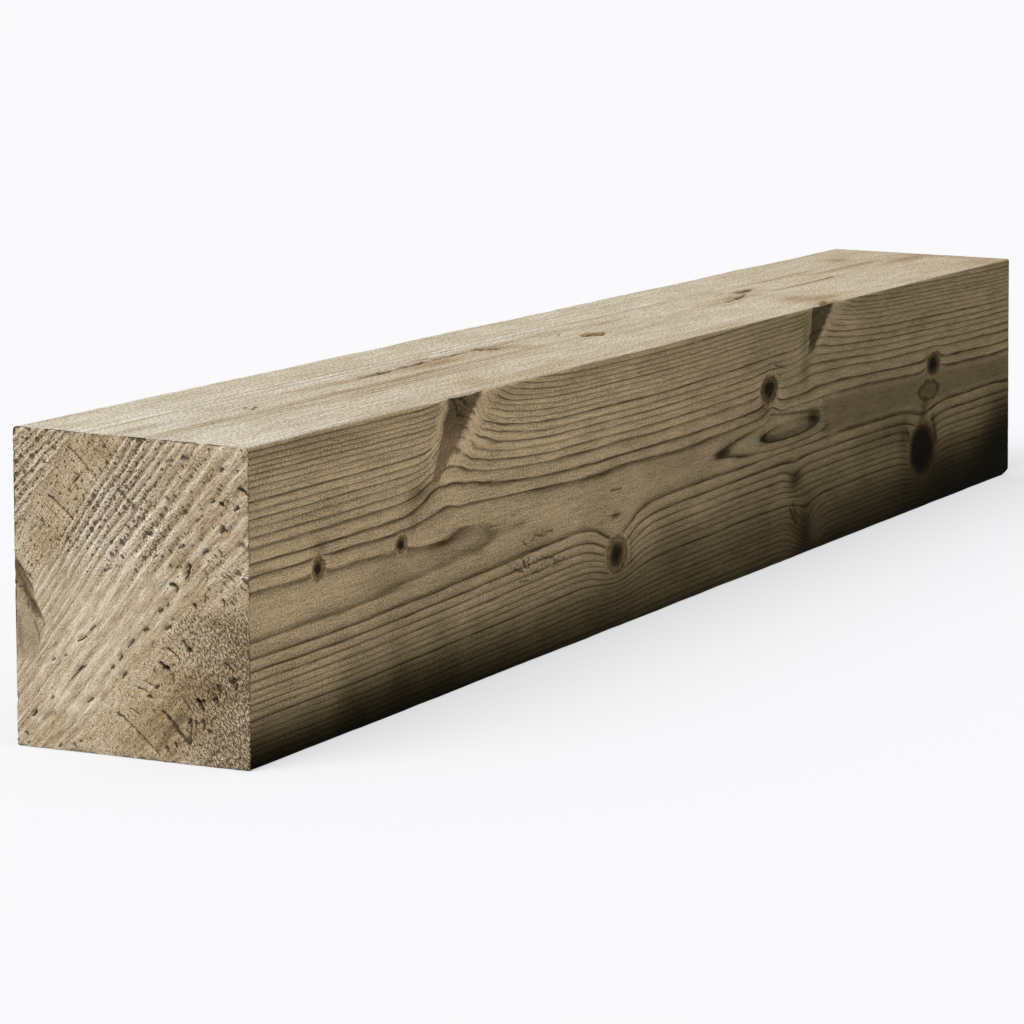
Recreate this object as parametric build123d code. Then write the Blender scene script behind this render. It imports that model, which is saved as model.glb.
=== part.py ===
from build123d import *
import os

# A pressure-treated sawn timber: one heavy softwood baulk, used for edging, posts and bearers.
# It lies on its base along X, in millimetres. The near end faces -X and the front face -Y.
# The origin is on the ground, under the middle of the baulk.

# The sawn baulk. The top was sawn a little out of square, so the back is taller than the front.
LENGTH = 1300.0
WIDTH = 175.0
FRONT_HEIGHT = 199.0
BACK_HEIGHT = 203.5

# The near end was cut leaning: its top edge on the front lies this far behind its bottom edge.
NEAR_END_LEAN = 7.6

# The long edges. Three are only eased by handling, and the top back one is worn round.
EASED_ARRIS_RADIUS = 2.0
WORN_ARRIS_RADIUS = 6.0

# Drying checks along the grain of the top. Places are shares of the length from the near end
# and of the width from the back, and lengths are shares of the timber's length.
TOP_CHECK_MOUTH = 1.6
TOP_CHECK_DEPTH = 9.0
TOP_CHECK_GRAIN_ANGLE = 2.5
TOP_CHECK_PLACE_SHARES = ((0.262, 0.418), (0.350, 0.388))
TOP_CHECK_LENGTH_SHARES = (0.094, 0.048)

# Short drying checks in the end grain of the near end. Places are shares of the width from the
# back and of the front height, and lengths are shares of the width.
END_CHECK_MOUTH = 1.4
END_CHECK_DEPTH = 7.0
END_CHECK_PLACE_SHARES = ((0.526, 0.083), (0.687, 0.111), (0.301, 0.915), (0.205, 0.775))
END_CHECK_LENGTH_SHARES = (0.220, 0.161, 0.157, 0.123)
END_CHECK_ANGLES = (-36.6, -45.0, -43.5, -33.7)

# Where a spike knot runs out through the top front arris, the saw tore a shallow scoop from it.
TORN_ARRIS_DEPTH = 2.6
TORN_ARRIS_PLACE_SHARES = (0.211, 0.676)
TORN_ARRIS_LENGTH_SHARES = (0.034, 0.042)

# The bottom front corner of the far end is chipped off.
CHIP_ALONG = 9.0
CHIP_ACROSS = 7.0
CHIP_UP = 6.0

# Names that several steps share
NEAR_X = -LENGTH / 2
FAR_X = LENGTH / 2
FRONT_Y = -WIDTH / 2
BACK_Y = WIDTH / 2
CUT_OVERRUN = WIDTH / 2


def sawn_baulk():
    """The four sawn faces: a slightly out-of-square section with eased edges, drawn along X."""
    corners = [(FRONT_Y, 0), (BACK_Y, 0), (BACK_Y, BACK_HEIGHT), (FRONT_Y, FRONT_HEIGHT)]
    section = make_face(Polyline(*corners, close=True))
    top_back = section.vertices().sort_by(Axis.Y)[-1]
    section = fillet(top_back, WORN_ARRIS_RADIUS)
    square_corners = [v for v in section.vertices() for c in corners if (v.X, v.Y) == c]
    section = fillet(square_corners, EASED_ARRIS_RADIUS)
    return extrude(Plane.YZ.offset(NEAR_X) * section, amount=LENGTH)


def near_end_plane(across_share, up_share):
    """The plane of the leaning near end, facing out, at a share of the width and height."""
    outward = Vector(-FRONT_HEIGHT, 0, NEAR_END_LEAN).normalized()
    origin = (
        NEAR_X + NEAR_END_LEAN * up_share,
        BACK_Y - WIDTH * across_share,
        FRONT_HEIGHT * up_share,
    )
    return Plane(origin, x_dir=(0, -1, 0), z_dir=outward)


def top_plane(along_share, across_share):
    """The plane of the sloping top, facing up, at a share of the length and width."""
    outward = Vector(0, FRONT_HEIGHT - BACK_HEIGHT, WIDTH).normalized()
    origin = (
        NEAR_X + LENGTH * along_share,
        BACK_Y - WIDTH * across_share,
        BACK_HEIGHT + (FRONT_HEIGHT - BACK_HEIGHT) * across_share,
    )
    return Plane(origin, x_dir=(1, 0, 0), z_dir=outward)


def arc_radius(chord, rise):
    """The radius of the circle that cuts a chord of this length with this rise."""
    return (chord**2 / 4 + rise**2) / (2 * rise)


def drying_check(length, mouth, depth):
    """A crack cutter along local X: a wheel with a V rim that dips into the face below it.

    The mouth is a slender lens, widest and deepest half way along, and closes at both ends.
    """
    radius = arc_radius(length, depth)
    half_hub = radius * mouth / 2 / depth
    rim = make_face(Polyline((0, -half_hub), (radius, 0), (0, half_hub), close=True))
    wheel = revolve(Plane.XZ * rim, Axis.Z)
    return Pos(0, 0, radius - depth) * Rot(90, 0, 0) * wheel


def torn_scoop(length):
    """A wide round cutter laid across the top front arris, so that it takes a shallow bite."""
    radius = arc_radius(length, TORN_ARRIS_DEPTH)
    bite = Cylinder(radius, 2 * CUT_OVERRUN, rotation=(90, 0, 0))
    return Pos(0, 0, radius - TORN_ARRIS_DEPTH) * bite


def build_timber():
    timber = sawn_baulk()
    timber = split(timber, near_end_plane(0, 0), keep=Keep.BOTTOM)

    for place, share in zip(TOP_CHECK_PLACE_SHARES, TOP_CHECK_LENGTH_SHARES):
        crack = drying_check(LENGTH * share, TOP_CHECK_MOUTH, TOP_CHECK_DEPTH)
        timber -= top_plane(*place) * Rot(0, 0, TOP_CHECK_GRAIN_ANGLE) * crack

    end_checks = zip(END_CHECK_PLACE_SHARES, END_CHECK_LENGTH_SHARES, END_CHECK_ANGLES)
    for place, share, angle in end_checks:
        crack = drying_check(WIDTH * share, END_CHECK_MOUTH, END_CHECK_DEPTH)
        timber -= near_end_plane(*place) * Rot(0, 0, angle) * crack

    for place, share in zip(TORN_ARRIS_PLACE_SHARES, TORN_ARRIS_LENGTH_SHARES):
        arris = (NEAR_X + LENGTH * place, FRONT_Y, FRONT_HEIGHT)
        diagonal = Plane(arris, x_dir=(1, 0, 0), z_dir=(0, -1, 1))
        timber -= diagonal * torn_scoop(LENGTH * share)

    chip_points = [
        (FAR_X - CHIP_ALONG, FRONT_Y, 0),
        (FAR_X, FRONT_Y + CHIP_ACROSS, 0),
        (FAR_X, FRONT_Y, CHIP_UP),
    ]
    chip_outward = (1 / CHIP_ALONG, -1 / CHIP_ACROSS, -1 / CHIP_UP)
    chip_plane = Plane(chip_points[0], z_dir=chip_outward)
    return split(timber, chip_plane, keep=Keep.BOTTOM)


os.makedirs("parts", exist_ok=True)
treated_timber = build_timber()
export_step(treated_timber, "parts/treated_timber.step")
box = treated_timber.bounding_box()
print("treated_timber", box.size, "volume", treated_timber.volume)
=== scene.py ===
# %% [markdown]
# # A pressure-treated sawn timber
# The object is one length of rough-sawn softwood, soaked in preservative under pressure. Its solid
# comes from the frame. This lesson gives it a skin with real saw marks, knots and torn grain, and
# finishes for sawn faces and cut ends. The skin replaces the plain solid and moves with it.

# %% Load the frame and keep its box
import math
import bpy
import numpy as np
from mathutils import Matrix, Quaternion, Vector


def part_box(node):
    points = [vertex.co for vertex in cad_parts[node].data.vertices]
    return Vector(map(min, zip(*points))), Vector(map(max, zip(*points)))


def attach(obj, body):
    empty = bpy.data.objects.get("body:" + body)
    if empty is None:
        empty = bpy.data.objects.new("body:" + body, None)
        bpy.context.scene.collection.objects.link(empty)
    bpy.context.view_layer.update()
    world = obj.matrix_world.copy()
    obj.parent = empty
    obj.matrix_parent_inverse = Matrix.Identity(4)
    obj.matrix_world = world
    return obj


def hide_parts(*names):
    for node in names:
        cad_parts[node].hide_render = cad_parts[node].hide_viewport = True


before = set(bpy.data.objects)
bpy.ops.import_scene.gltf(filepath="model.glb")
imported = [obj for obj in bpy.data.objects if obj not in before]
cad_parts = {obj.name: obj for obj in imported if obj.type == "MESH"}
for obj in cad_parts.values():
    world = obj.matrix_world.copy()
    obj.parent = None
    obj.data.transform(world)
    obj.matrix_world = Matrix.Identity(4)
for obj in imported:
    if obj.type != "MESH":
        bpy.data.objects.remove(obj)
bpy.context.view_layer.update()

print("frame nodes:", list(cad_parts))

# %% [markdown]
# ## Sizes
# Everything on the skin is written in millimetres, as a sawyer would mark it, and turned into
# metres once, when the mesh is made. Along is counted from the near end, across from the back,
# and up from the ground. The top falls towards the front and the near end leans, as the solid does.

# %% Sizes of the timber
MM = 0.001
NODE = "treated_timber"
low, high = (np.array(corner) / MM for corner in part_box(NODE))
LENGTH, WIDTH = high[0] - low[0], high[1] - low[1]
FRONT_HEIGHT, BACK_HEIGHT = 199.0, 203.5
NEAR_END_LEAN = 7.6
EASED_ARRIS, WORN_ARRIS = 2.0, 3.5
print("timber", LENGTH, "x", WIDTH, "x", high[2] - low[2], "mm")

# %% [markdown]
# ## The camera
# A long lens stands to the left of the front face, a little above the timber. The place, the two
# angles and the small roll were found by fitting the seven corners that show.

# %% Camera
CAMERA_PLACE = Vector((-2.4312, -1.2455, 0.5051))
VIEW_AZIMUTH, VIEW_DIP, VIEW_ROLL = (math.radians(a) for a in (61.361, 9.302, -0.972))
LENS_MM, SENSOR_MM = 125.07, 36.0
FARTHEST_SEEN = 200.0

camera = bpy.data.objects.new("camera", bpy.data.cameras.new("camera"))
bpy.context.scene.collection.objects.link(camera)
camera.data.lens = LENS_MM
camera.data.sensor_width = SENSOR_MM
camera.data.clip_end = FARTHEST_SEEN
level = math.cos(VIEW_DIP)
aim = Vector((math.sin(VIEW_AZIMUTH) * level, math.cos(VIEW_AZIMUTH) * level, -math.sin(VIEW_DIP)))
camera.rotation_mode = "QUATERNION"
camera.rotation_quaternion = aim.to_track_quat("-Z", "Y") @ Quaternion((0, 0, 1), VIEW_ROLL)
camera.location = CAMERA_PLACE
bpy.context.scene.camera = camera
print("camera at", tuple(round(x, 3) for x in camera.location), "looks along", aim)

# %% [markdown]
# ## Chance, kept in hand
# Wood is never even. Smooth random hills, laid over each other at finer and finer sizes, give every
# wander and roughness of the shape. They come from fixed seeds, so each run gives the same timber.

# %% Random hills
TABLE = 256


def hills(a, b, seed):
    """Random heights from -1 to 1 at whole-number crossings, eased into each other in between."""
    heights = np.random.default_rng(seed).uniform(-1, 1, (TABLE, TABLE))
    i, j = np.floor(a).astype(int), np.floor(b).astype(int)
    p, q = a - i, b - j
    p, q = p * p * (3 - 2 * p), q * q * (3 - 2 * q)
    i, k = i % TABLE, (i + 1) % TABLE
    j, m = j % TABLE, (j + 1) % TABLE
    lower = heights[i, j] * (1 - p) + heights[k, j] * p
    upper = heights[i, m] * (1 - p) + heights[k, m] * p
    return lower * (1 - q) + upper * q


def rough_hills(a, b, seed, layers=3):
    """Hills with smaller hills on them: each layer is twice as fine and half as high."""
    return sum(hills(a * 2**n, b * 2**n, seed + n) / 2**n for n in range(layers))


def ease(value, start, end):
    """0 before start, 1 after end, and a soft S between them."""
    share = np.clip((value - start) / (end - start), 0, 1)
    return share * share * (3 - 2 * share)


def path(along, points, blur=18.0):
    """A wandering line through given (along, value) points, with its corners averaged out."""
    places, values = np.array(points).T
    steps = np.linspace(-blur, blur, 5)
    return sum(np.interp(along + step, places, values) for step in steps) / len(steps)


walk = np.arange(LENGTH) / 10
sample = rough_hills(walk, walk, 1)
print("rough hills run from", sample.min().round(2), "to", sample.max().round(2))

# %% [markdown]
# ## What the finish needs to know
# The shader reads three vectors at every corner of every face cell. *place* holds the two
# coordinates on the face and the one that the fibres follow. *grain* holds the ring number, how
# strong its lines are, and how dark the stain and the painted shade at the foot are. *wear* holds
# tearing, fuzz and a slow shade.

# %% Small tools for the figure
# a knot's swelling reaches less far across the grain than along it
KNOT_FLATNESS = 1.3


def patches(a, b, places):
    """The sum of soft oval patches. Each has a place, two half sizes and a strength."""
    return sum(s * np.exp(-(((a - u) / p) ** 2 + ((b - v) / q) ** 2)) for u, v, p, q, s in places)


def swelling(a, b, knots):
    """Rings lost over knots: a round hill over each. A knot is a place, sizes, rings and reach."""
    return sum(
        rings * np.exp(-((a - u) ** 2 + KNOT_FLATNESS * (b - v) ** 2) / reach**2)
        for u, v, _, _, rings, reach in knots)


one_patch = ((0, 0, 1, 1, 1.0),)
print("at its half size a patch has faded to", patches(1.0, 0.0, one_patch).round(2))

# %% [markdown]
# ## Growth rings on the front
# The front was sawn beside the heart of the tree, so it touches the rings flat along a heart line
# and cuts them closer and closer towards its edges. A ring number for every point gives the figure:
# a dark line runs wherever the number is whole. Along the heart line the number rises and falls,
# and where it passes a whole number, a tongue or an island closes.

# %% Ring number of the front
HEART_HEIGHT = 93.0
# between the heart and the second rings the number rises by this power of the distance
BOWL_POWER = 1.5
# the lines below the heart rise by more than the lift, and a lift of this much doubles their spread
LOWER_RISE, DOUBLING_LIFT = 1.19, 130
# distances from the heart to the second ring, the third and so on, above and below it
UPPER_REACHES = (27, 35, 45, 51, 57, 62, 67, 73, 77, 81, 85, 89, 92, 95, 99, 103, 107, 112)
LOWER_REACHES = (25, 33, 39, 45, 49, 53, 57, 63, 67, 71, 75, 79, 82, 86, 90, 94, 98, 103)
# how far the lines above and below the heart have moved up, along the timber
UPPER_LIFT = ((0, 0), (350, 0), (585, -2), (665, -0.5), (800, 3), (960, 4), (1200, -2), (1300, -3))
LOWER_LIFT = ((0, 0), (130, 0), (350, 7), (425, 10), (585, 17), (665, 18.5), (960, 21), (1300, 18))
RING_STRENGTHS = np.array((
    1.05, 0.85, 0.95, 1.0, 0.8, 0.85, 0.6, 0.9, 0.7, 1.0, 0.5,
    0.7, 0.6, 0.9, 0.6, 0.8, 0.6, 0.85, 0.6, 0.8, 0.7,
))
# ring number on the heart line, along the timber
HEART_RING = (
    (0, 0.15), (130, 0.22), (187, 0.5), (230, 0.64), (280, 0.78), (298, 0.88), (306, 1.0),
    (316, 1.1), (600, 1.25), (645, 1.12), (661, 1.0), (690, 0.8), (720, 0.42), (736, 0.15),
    (747, 0.0), (765, -0.45), (800, -0.75), (840, -0.6), (858, -0.25), (868, 0.0), (874, 0.15),
    (886, 0.7), (896, 1.05), (930, 1.15), (1300, 1.25),
)


def front_rings(up, lower_lift, upper_lift, heart_ring):
    """Ring number: a bowl between the two second rings, then line by line outwards."""
    low_second = HEART_HEIGHT - LOWER_REACHES[0] + lower_lift
    high_second = HEART_HEIGHT + UPPER_REACHES[0] + upper_lift
    heart, half = (low_second + high_second) / 2, (high_second - low_second) / 2
    share = np.abs(up - heart) / half
    bowl = heart_ring + (2 - heart_ring) * np.minimum(share, 1) ** BOWL_POWER
    high_reach = up - HEART_HEIGHT - upper_lift
    low_reach = (HEART_HEIGHT + LOWER_RISE * lower_lift - up) / (1 + lower_lift / DOUBLING_LIFT)
    numbers = 2 + np.arange(len(UPPER_REACHES))
    above = np.interp(high_reach, UPPER_REACHES, numbers)
    below = np.interp(low_reach, LOWER_REACHES, numbers)
    return heart, np.where(share < 1, bowl, np.where(up > heart, above, below))


print("ring lines above and below the heart:", len(UPPER_REACHES), "and", len(LOWER_REACHES))

# %% [markdown]
# ## Knots
# A knot is a branch that the trunk grew around. Every ring swells outwards over it, so the lines
# bend away from the heart line all round it. A knot that the saw met along its length is a spike:
# a dark wedge that runs out at the top arris, with the lines swept up along it.

# %% Knots and spikes of the front
# along, up, half length, half height, rings of swelling, reach of the swelling
FRONT_KNOTS = ((497, 54, 15, 12.5, 2.3, 34),)
FRONT_BROWN_KNOTS = ((766, 142.5, 14.5, 10, 0.55, 18), (1114, 123, 13.5, 9, 0.8, 16))
FRONT_PIN_KNOTS = ((82, 112, 7, 7.5, 0.35, 10), (185, 110.5, 6.5, 5.5, 0.3, 9))
FRONT_DEAD_KNOTS = ((1088, 52, 25, 20, 2.3, 31),)
FRONT_ALL_KNOTS = FRONT_KNOTS + FRONT_BROWN_KNOTS + FRONT_PIN_KNOTS + FRONT_DEAD_KNOTS
# branches just under the surface, which swell the rings but hardly show
FRONT_HIDDEN = (
    (836, 18, 0, 0, 3.4, 24), (1103, 101, 0, 0, 0.25, 18), (814, 64, 0, 0, 0.9, 14),
    (214, 134, 0, 0, 0.4, 20), (770, 126, 0, 0, 0.6, 13),
)
# a spike's tip, where its axis leaves the face, and the rings of swelling at both
FRONT_SPIKES = (
    ((238, 143), (290, 214), 1.6, 9.0), ((848, 158), (890, 214), 1.0, 5.0),
)
# how the swelling fades to the left and the right of the axis, in millimetres
SPIKE_SIDES = (-48, -34, -27, -22, -17, 0, 10, 28, 50, 75, 100, 130)
SPIKE_SHARES = (0, 0.05, 0.2, 0.45, 0.72, 1, 0.8, 0.42, 0.2, 0.09, 0.03, 0)
# how far the swelling runs on below the tip
SPIKE_TIP_FADE = 18
# how softly a spike's sides end, and over what height it comes in
SPIKE_SOFTNESS, SPIKE_RUN_IN = 2.5, 10
# the dark wood of a spike: ends of its two sides at the arris, where they meet, and where it starts
FRONT_SPIKE_SIDES = (
    ((250, 203), (304, 203), (219, 129), 139), ((853, 203), (902, 203), (836, 149), 158),
)
# pale wood beside it, in the same terms, over what height it comes in, and how softly it ends
FRONT_SPIKE_EDGES = (
    ((298, 203), (340, 203), (236, 130), 142, 5, 12),
    ((238, 203), (252, 203), (214, 138), 146, 8, 3),
    ((896, 203), (946, 203), (842, 150), 160, 8, 12),
)


def spike_swelling(along, up):
    """Rings lost over spikes: a ridge along each, growing to the arris, steep on its left side."""
    total = np.zeros_like(along)
    for tip, mouth, at_tip, at_mouth in FRONT_SPIKES:
        run = np.subtract(mouth, tip) / math.dist(mouth, tip)
        ahead = (along - tip[0]) * run[0] + (up - tip[1]) * run[1]
        side = (along - tip[0]) * run[1] - (up - tip[1]) * run[0]
        rings = at_tip + (at_mouth - at_tip) * np.clip(ahead / math.dist(mouth, tip), 0, 1)
        fade = np.exp(-((np.minimum(ahead, 0) / SPIKE_TIP_FADE) ** 2))
        total += rings * fade * np.interp(side, SPIKE_SIDES, SPIKE_SHARES)
    return total


def spike_cover(along, up, left, right, tip, start, run_in=SPIKE_RUN_IN, soft=SPIKE_SOFTNESS):
    """1 inside a spike: between two straight sides that meet at its tip, above its start."""
    def side(target):
        """Distance to the right of the line from the tip to a target."""
        run = np.subtract(target, tip)
        return ((along - tip[0]) * run[1] - (up - tip[1]) * run[0]) / math.hypot(*run)
    inside = ease(side(left), 0, SPIKE_SOFTNESS) * ease(-side(right), 0, soft)
    return inside * ease(up, start, start + run_in)


print("the front shows", len(FRONT_ALL_KNOTS), "knots and", len(FRONT_SPIKES), "spikes")

# %% [markdown]
# ## Painted foot shade, smudges and tears of the front
# The foot of the face is painted nearly black as shade by the ground, least so in the middle of its
# length. Smudges darken it where preservative gathered, broad low ones are painted shade, and pale
# spots stayed dry.

# %% Marks on the front
# along the timber: height of the painted foot shade, how softly it ends, and how dark it gets
FOOT_SHADE_HEIGHT = (
    (0, 24.5), (60, 25.5), (200, 44), (400, 38), (600, 52), (800, 48), (1000, 49), (1200, 62),
    (1260, 68), (1300, 80),
)
FOOT_SHADE_SOFTNESS = (
    (0, 6.5), (200, 9), (400, 11), (600, 14), (800, 14), (1000, 11), (1200, 11), (1300, 9),
)
FOOT_SHADE_DARKNESS = (
    (0, 1.0), (300, 0.985), (420, 0.93), (600, 0.83), (800, 0.74), (950, 0.93), (1150, 0.99),
    (1300, 1.0),
)
# slow shade of the face, along the timber
FRONT_SHADE = (
    (0, 1.38), (200, 1.42), (450, 1.33), (600, 1.2), (700, 1.02), (800, 0.86), (1000, 0.86),
    (1300, 0.88),
)
# dark smudges, broad patches of painted shade low on the face, and pale spots: a place, two half
# sizes and a strength
FRONT_SMUDGES_AND_SHADE = (
    (84, 125, 8, 5, -0.5), (154, 92, 30, 9, -0.26), (206, 140, 14, 8, -0.5),
    (228, 140, 16, 5, -0.42), (834, 25, 15, 20, -0.65), (834, 8, 22, 10, -0.3),
    (895, 5, 45, 9, -0.45), (815, 63, 13, 8, -0.7), (828, 66, 10, 3, -0.3),
    (1046, 66, 12, 18, -0.35), (400, 155, 330, 28, 0.1), (853, 108, 14, 7, -0.7),
    (753, 106, 9, 4, -0.5), (920, 180, 40, 14, 0.25), (1140, 48, 13, 18, 0.45),
    (784, 133, 14, 6, 0.25), (679, 104, 14, 5, -0.7), (805, 107, 45, 7, -0.12),
    (60, 93, 40, 9, 0.08), (600, 106, 60, 12, -0.1), (1098, 132, 8, 8, -0.25),
    (836, 148, 10, 15, -0.35), (1000, 103, 120, 22, -0.24), (1000, 70, 110, 16, -0.36),
    (1225, 101, 100, 24, -0.18), (800, 78, 90, 16, -0.12), (1090, 22, 24, 8, 0.2),
    (757, 129, 8, 4, -0.5), (835, 180, 5, 18, -0.25), (1225, 78, 90, 14, -0.12),
    (600, 44, 80, 16, -0.2), (300, 165, 140, 14, 0.1), (60, 110, 70, 36, 0.13),
    (60, 194, 70, 9, -0.16), (1102, 101, 15, 5, -0.25), (1091, 84, 9, 10, -0.35),
    (1118, 64, 6, 14, -0.3), (500, 92, 260, 26, -0.08), (200, 66, 110, 24, -0.16),
    (200, 125, 7, 12, -0.3), (800, 101, 45, 4, -0.3), (765, 103, 16, 4, -0.25),
    (835, 113, 26, 4, -0.25), (715, 112, 24, 4, -0.2), (755, 124, 18, 5, -0.25),
    (790, 106, 30, 5, -0.1), (1000, 78, 60, 10, -0.16), (580, 104, 70, 12, -0.1),
)
# places where the ring lines fade
FRONT_FAINT = (
    (230, 89, 45, 6, 0.55), (292, 108, 22, 6, 0.4), (893, 106, 14, 18, 1.0),
    (815, 119.5, 58, 3.5, 1.0), (803, 113, 46, 3.2, 1.0), (262, 118, 30, 4, 0.6),
    (930, 112, 60, 9, 0.8), (820, 152, 30, 14, 0.5),
)
# places where the saw tore the grain
FRONT_TORN = (
    (350, 70, 18, 8, 1.5), (372, 87, 20, 5, 1.3), (395, 66, 34, 7, 1.3), (450, 66, 24, 12, 0.4),
    (315, 190, 14, 9, 0.6), (811, 36, 7, 12, 0.8), (1052, 66, 8, 14, 0.5), (266, 193, 12, 9, 1.6),
    (256, 180, 8, 6, 0.9), (872, 197, 12, 4, 1.5),
)
print("the front has", len(FRONT_SMUDGES_AND_SHADE), "smudges and", len(FRONT_TORN), "torn places")

# %% [markdown]
# ## The front's figure
# Each face has a figure: a function that gives, for whole arrays of places, where the fibres run,
# the ring number, the strength of the lines, the stain and painted foot shade, the tearing, the fuzz
# and the shade. One function for each face keeps what was seen on that face together, and the mesh
# needs no pictures.

# %% Figure of the front
LIFT_BLUR, HEART_BLUR, SLOW_BLUR = 45, 7, 60
# the fibres give way by this much for each ring of swelling
FIBRE_BEND = 5.0
# the painted shade at the foot darkens the wood by at most this share
DARKEST_FOOT_SHADE = 0.985
FRONT_FUZZ = 0.5


def front_figure(along, up):
    """Rings less the swelling over knots; painted foot shade is an S that falls with height; shade is
    a product.
    """
    lower_lift = path(along, LOWER_LIFT, LIFT_BLUR)
    upper_lift = path(along, UPPER_LIFT, LIFT_BLUR)
    heart, ring = front_rings(up, lower_lift, upper_lift, path(along, HEART_RING, HEART_BLUR))
    swell = swelling(along, up, FRONT_ALL_KNOTS + FRONT_HIDDEN) * ease(np.abs(up - heart), 2, 16)
    swell = swell + spike_swelling(along, up)
    ring = ring - swell + 0.07 * rough_hills(along / 90, up / 30, 11)
    flow = up - FIBRE_BEND * np.sign(up - heart) * swell

    pale = np.clip(sum(spike_cover(along, up, *edge) for edge in FRONT_SPIKE_EDGES), 0, 1)
    faint = np.clip(patches(along, up, FRONT_FAINT), 0, 1)
    nearest = np.clip(np.floor(ring + 0.5), 0, len(RING_STRENGTHS) - 1).astype(int)
    strength = RING_STRENGTHS[nearest] * (1 - 0.96 * pale) * (1 - faint)

    # painted shade at the foot: an S that fades out above a wandering height
    foot_shade_height = path(along, FOOT_SHADE_HEIGHT, SLOW_BLUR) * (1 + 0.12 * rough_hills(along / 60, along * 0, 13))
    softness = path(along, FOOT_SHADE_SOFTNESS, SLOW_BLUR)
    stain_and_shade = path(along, FOOT_SHADE_DARKNESS, SLOW_BLUR) / (1 + np.exp((up - foot_shade_height) / softness))
    stain_and_shade = np.minimum(stain_and_shade, DARKEST_FOOT_SHADE)

    inner = (1 - ease(ring, 1.45, 1.7)) * ease(along, 864, 878)
    # smudges, with broad painted shade low on the face
    smudged_and_shaded = np.maximum(1 + patches(along, up, FRONT_SMUDGES_AND_SHADE), 0.15) * (1 - 0.38 * inner)
    shade = path(along, FRONT_SHADE, SLOW_BLUR) * smudged_and_shaded
    # painted contact shade: the lowest 14 mm of the front darken to half
    foot = 0.5 + 0.5 * ease(up, 0, 14)
    shade = shade * (1 - 0.12 * ease(up, 178, 200)) * (1 + 0.14 * pale) * foot
    torn = patches(along, up, FRONT_TORN)
    return flow, ring, strength, stain_and_shade, torn, np.full_like(up, FRONT_FUZZ), shade


middle = front_figure(np.array([LENGTH / 2]), np.array([FRONT_HEIGHT / 2]))
print("in the middle of the front the ring number is", middle[1].round(2))

# %% [markdown]
# ## The top
# The saw left the top fuzzy, so only a few bundles of rings show, in long streaks. Its knots are
# small, and a drying check runs along one of the streaks.

# %% Figure of the top
TOP_RING, TOP_FIRST_RING = 5.2, 46.0
TOP_KNOTS = ((604, 101, 14, 7, 0.8, 18),)
TOP_HIDDEN = ((145, 88, 0, 0, 0.4, 12), (900, 88, 0, 0, 0.9, 24), (1200, 46, 0, 0, 0.8, 26))
# streaks where the ring lines show
TOP_BUNDLES = (
    (300, 47, 330, 2.2, 0.55), (350, 56.5, 400, 2.4, 0.7), (260, 100, 270, 4, 1.1),
    (300, 113, 240, 7, 0.75), (300, 73, 180, 4, 0.7), (490, 70, 120, 4, 1.0), (665, 77, 60, 4, 0.9),
    (720, 57, 180, 3, 0.5), (740, 107, 60, 5, 0.6), (660, 117, 60, 6, 0.5),
    (1010, 98, 70, 3.5, 1.1), (1070, 60, 120, 3, 0.9), (1170, 77, 60, 5, 0.9),
    (1240, 93, 60, 7, 0.7), (30, 76, 30, 4, 0.6), (900, 57, 120, 5, 0.4),
)
TOP_SMUDGES = (
    (905, 150, 36, 22, -0.26), (1203, 45, 16, 12, -0.3), (488, 76, 14, 8, -0.3),
    (330, 101.5, 250, 3.5, -0.26), (405, 84, 44, 8, -0.28), (127, 68, 9, 9, -0.2),
    (30, 76, 30, 5, -0.16), (405, 62, 10, 6, -0.28), (510, 90, 14, 12, -0.14),
    (905, 132, 16, 4, -0.25), (885, 172, 18, 7, -0.35), (700, 166, 30, 8, -0.18),
    (60, 45, 70, 9, 0.07), (75, 64, 60, 5, 0.05), (420, 52, 480, 9, 0.12), (935, 97, 12, 5, 0.12),
    (1245, 94, 50, 11, -0.2), (665, 76, 16, 3, -0.2), (1250, 160, 60, 14, -0.14),
    (400, 160, 110, 12, -0.14), (325, 150, 16, 9, -0.14), (870, 92, 60, 12, -0.14),
    (928, 78, 26, 8, -0.2), (590, 102, 22, 8, -0.1), (140, 88, 12, 6, -0.2),
    (1180, 76, 50, 7, -0.12), (1290, 120, 14, 60, -0.14), (460, 96, 40, 7, 0.06),
    (60, 72, 60, 12, 0.08), (400, 72, 60, 8, -0.1), (200, 166, 90, 10, -0.08),
    (600, 166, 90, 10, -0.08), (400, 47, 380, 1.8, -0.16), (400, 53.5, 420, 1.8, -0.18),
    (400, 50.3, 420, 1.8, 0.12), (400, 58, 420, 2.4, 0.1), (290, 76, 70, 4, -0.16),
    (390, 82, 70, 7, -0.12), (590, 69, 110, 3, -0.16), (320, 109, 130, 1.7, -0.16),
    (320, 114, 130, 1.7, -0.14), (330, 119, 120, 1.7, -0.12), (335, 140, 9, 6, -0.14),
    (1015, 98.5, 55, 2.5, -0.34), (1060, 97, 18, 2, -0.25), (1010, 61, 60, 3, -0.2),
    (1120, 76, 70, 4, -0.2), (883, 91, 16, 4, -0.3), (925, 77, 15, 5, -0.35),
    (930, 155, 20, 8, -0.15), (500, 86, 24, 9, -0.12), (60, 101, 90, 3.5, -0.14),
    (130, 113, 110, 2, -0.12), (100, 56, 110, 2, -0.12), (760, 98, 90, 3, -0.1),
    (720, 58, 110, 2.5, -0.12),
)
TOP_SHADE = (
    (0, 1.09), (100, 1.03), (300, 0.97), (700, 0.98), (1000, 0.95), (1200, 0.9), (1300, 0.88),
)


TOP_FIBRE_BEND = 4.0
# share of the ring lines that shows between the streaks
TOP_PLAIN_STRENGTH = 0.06


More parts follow.
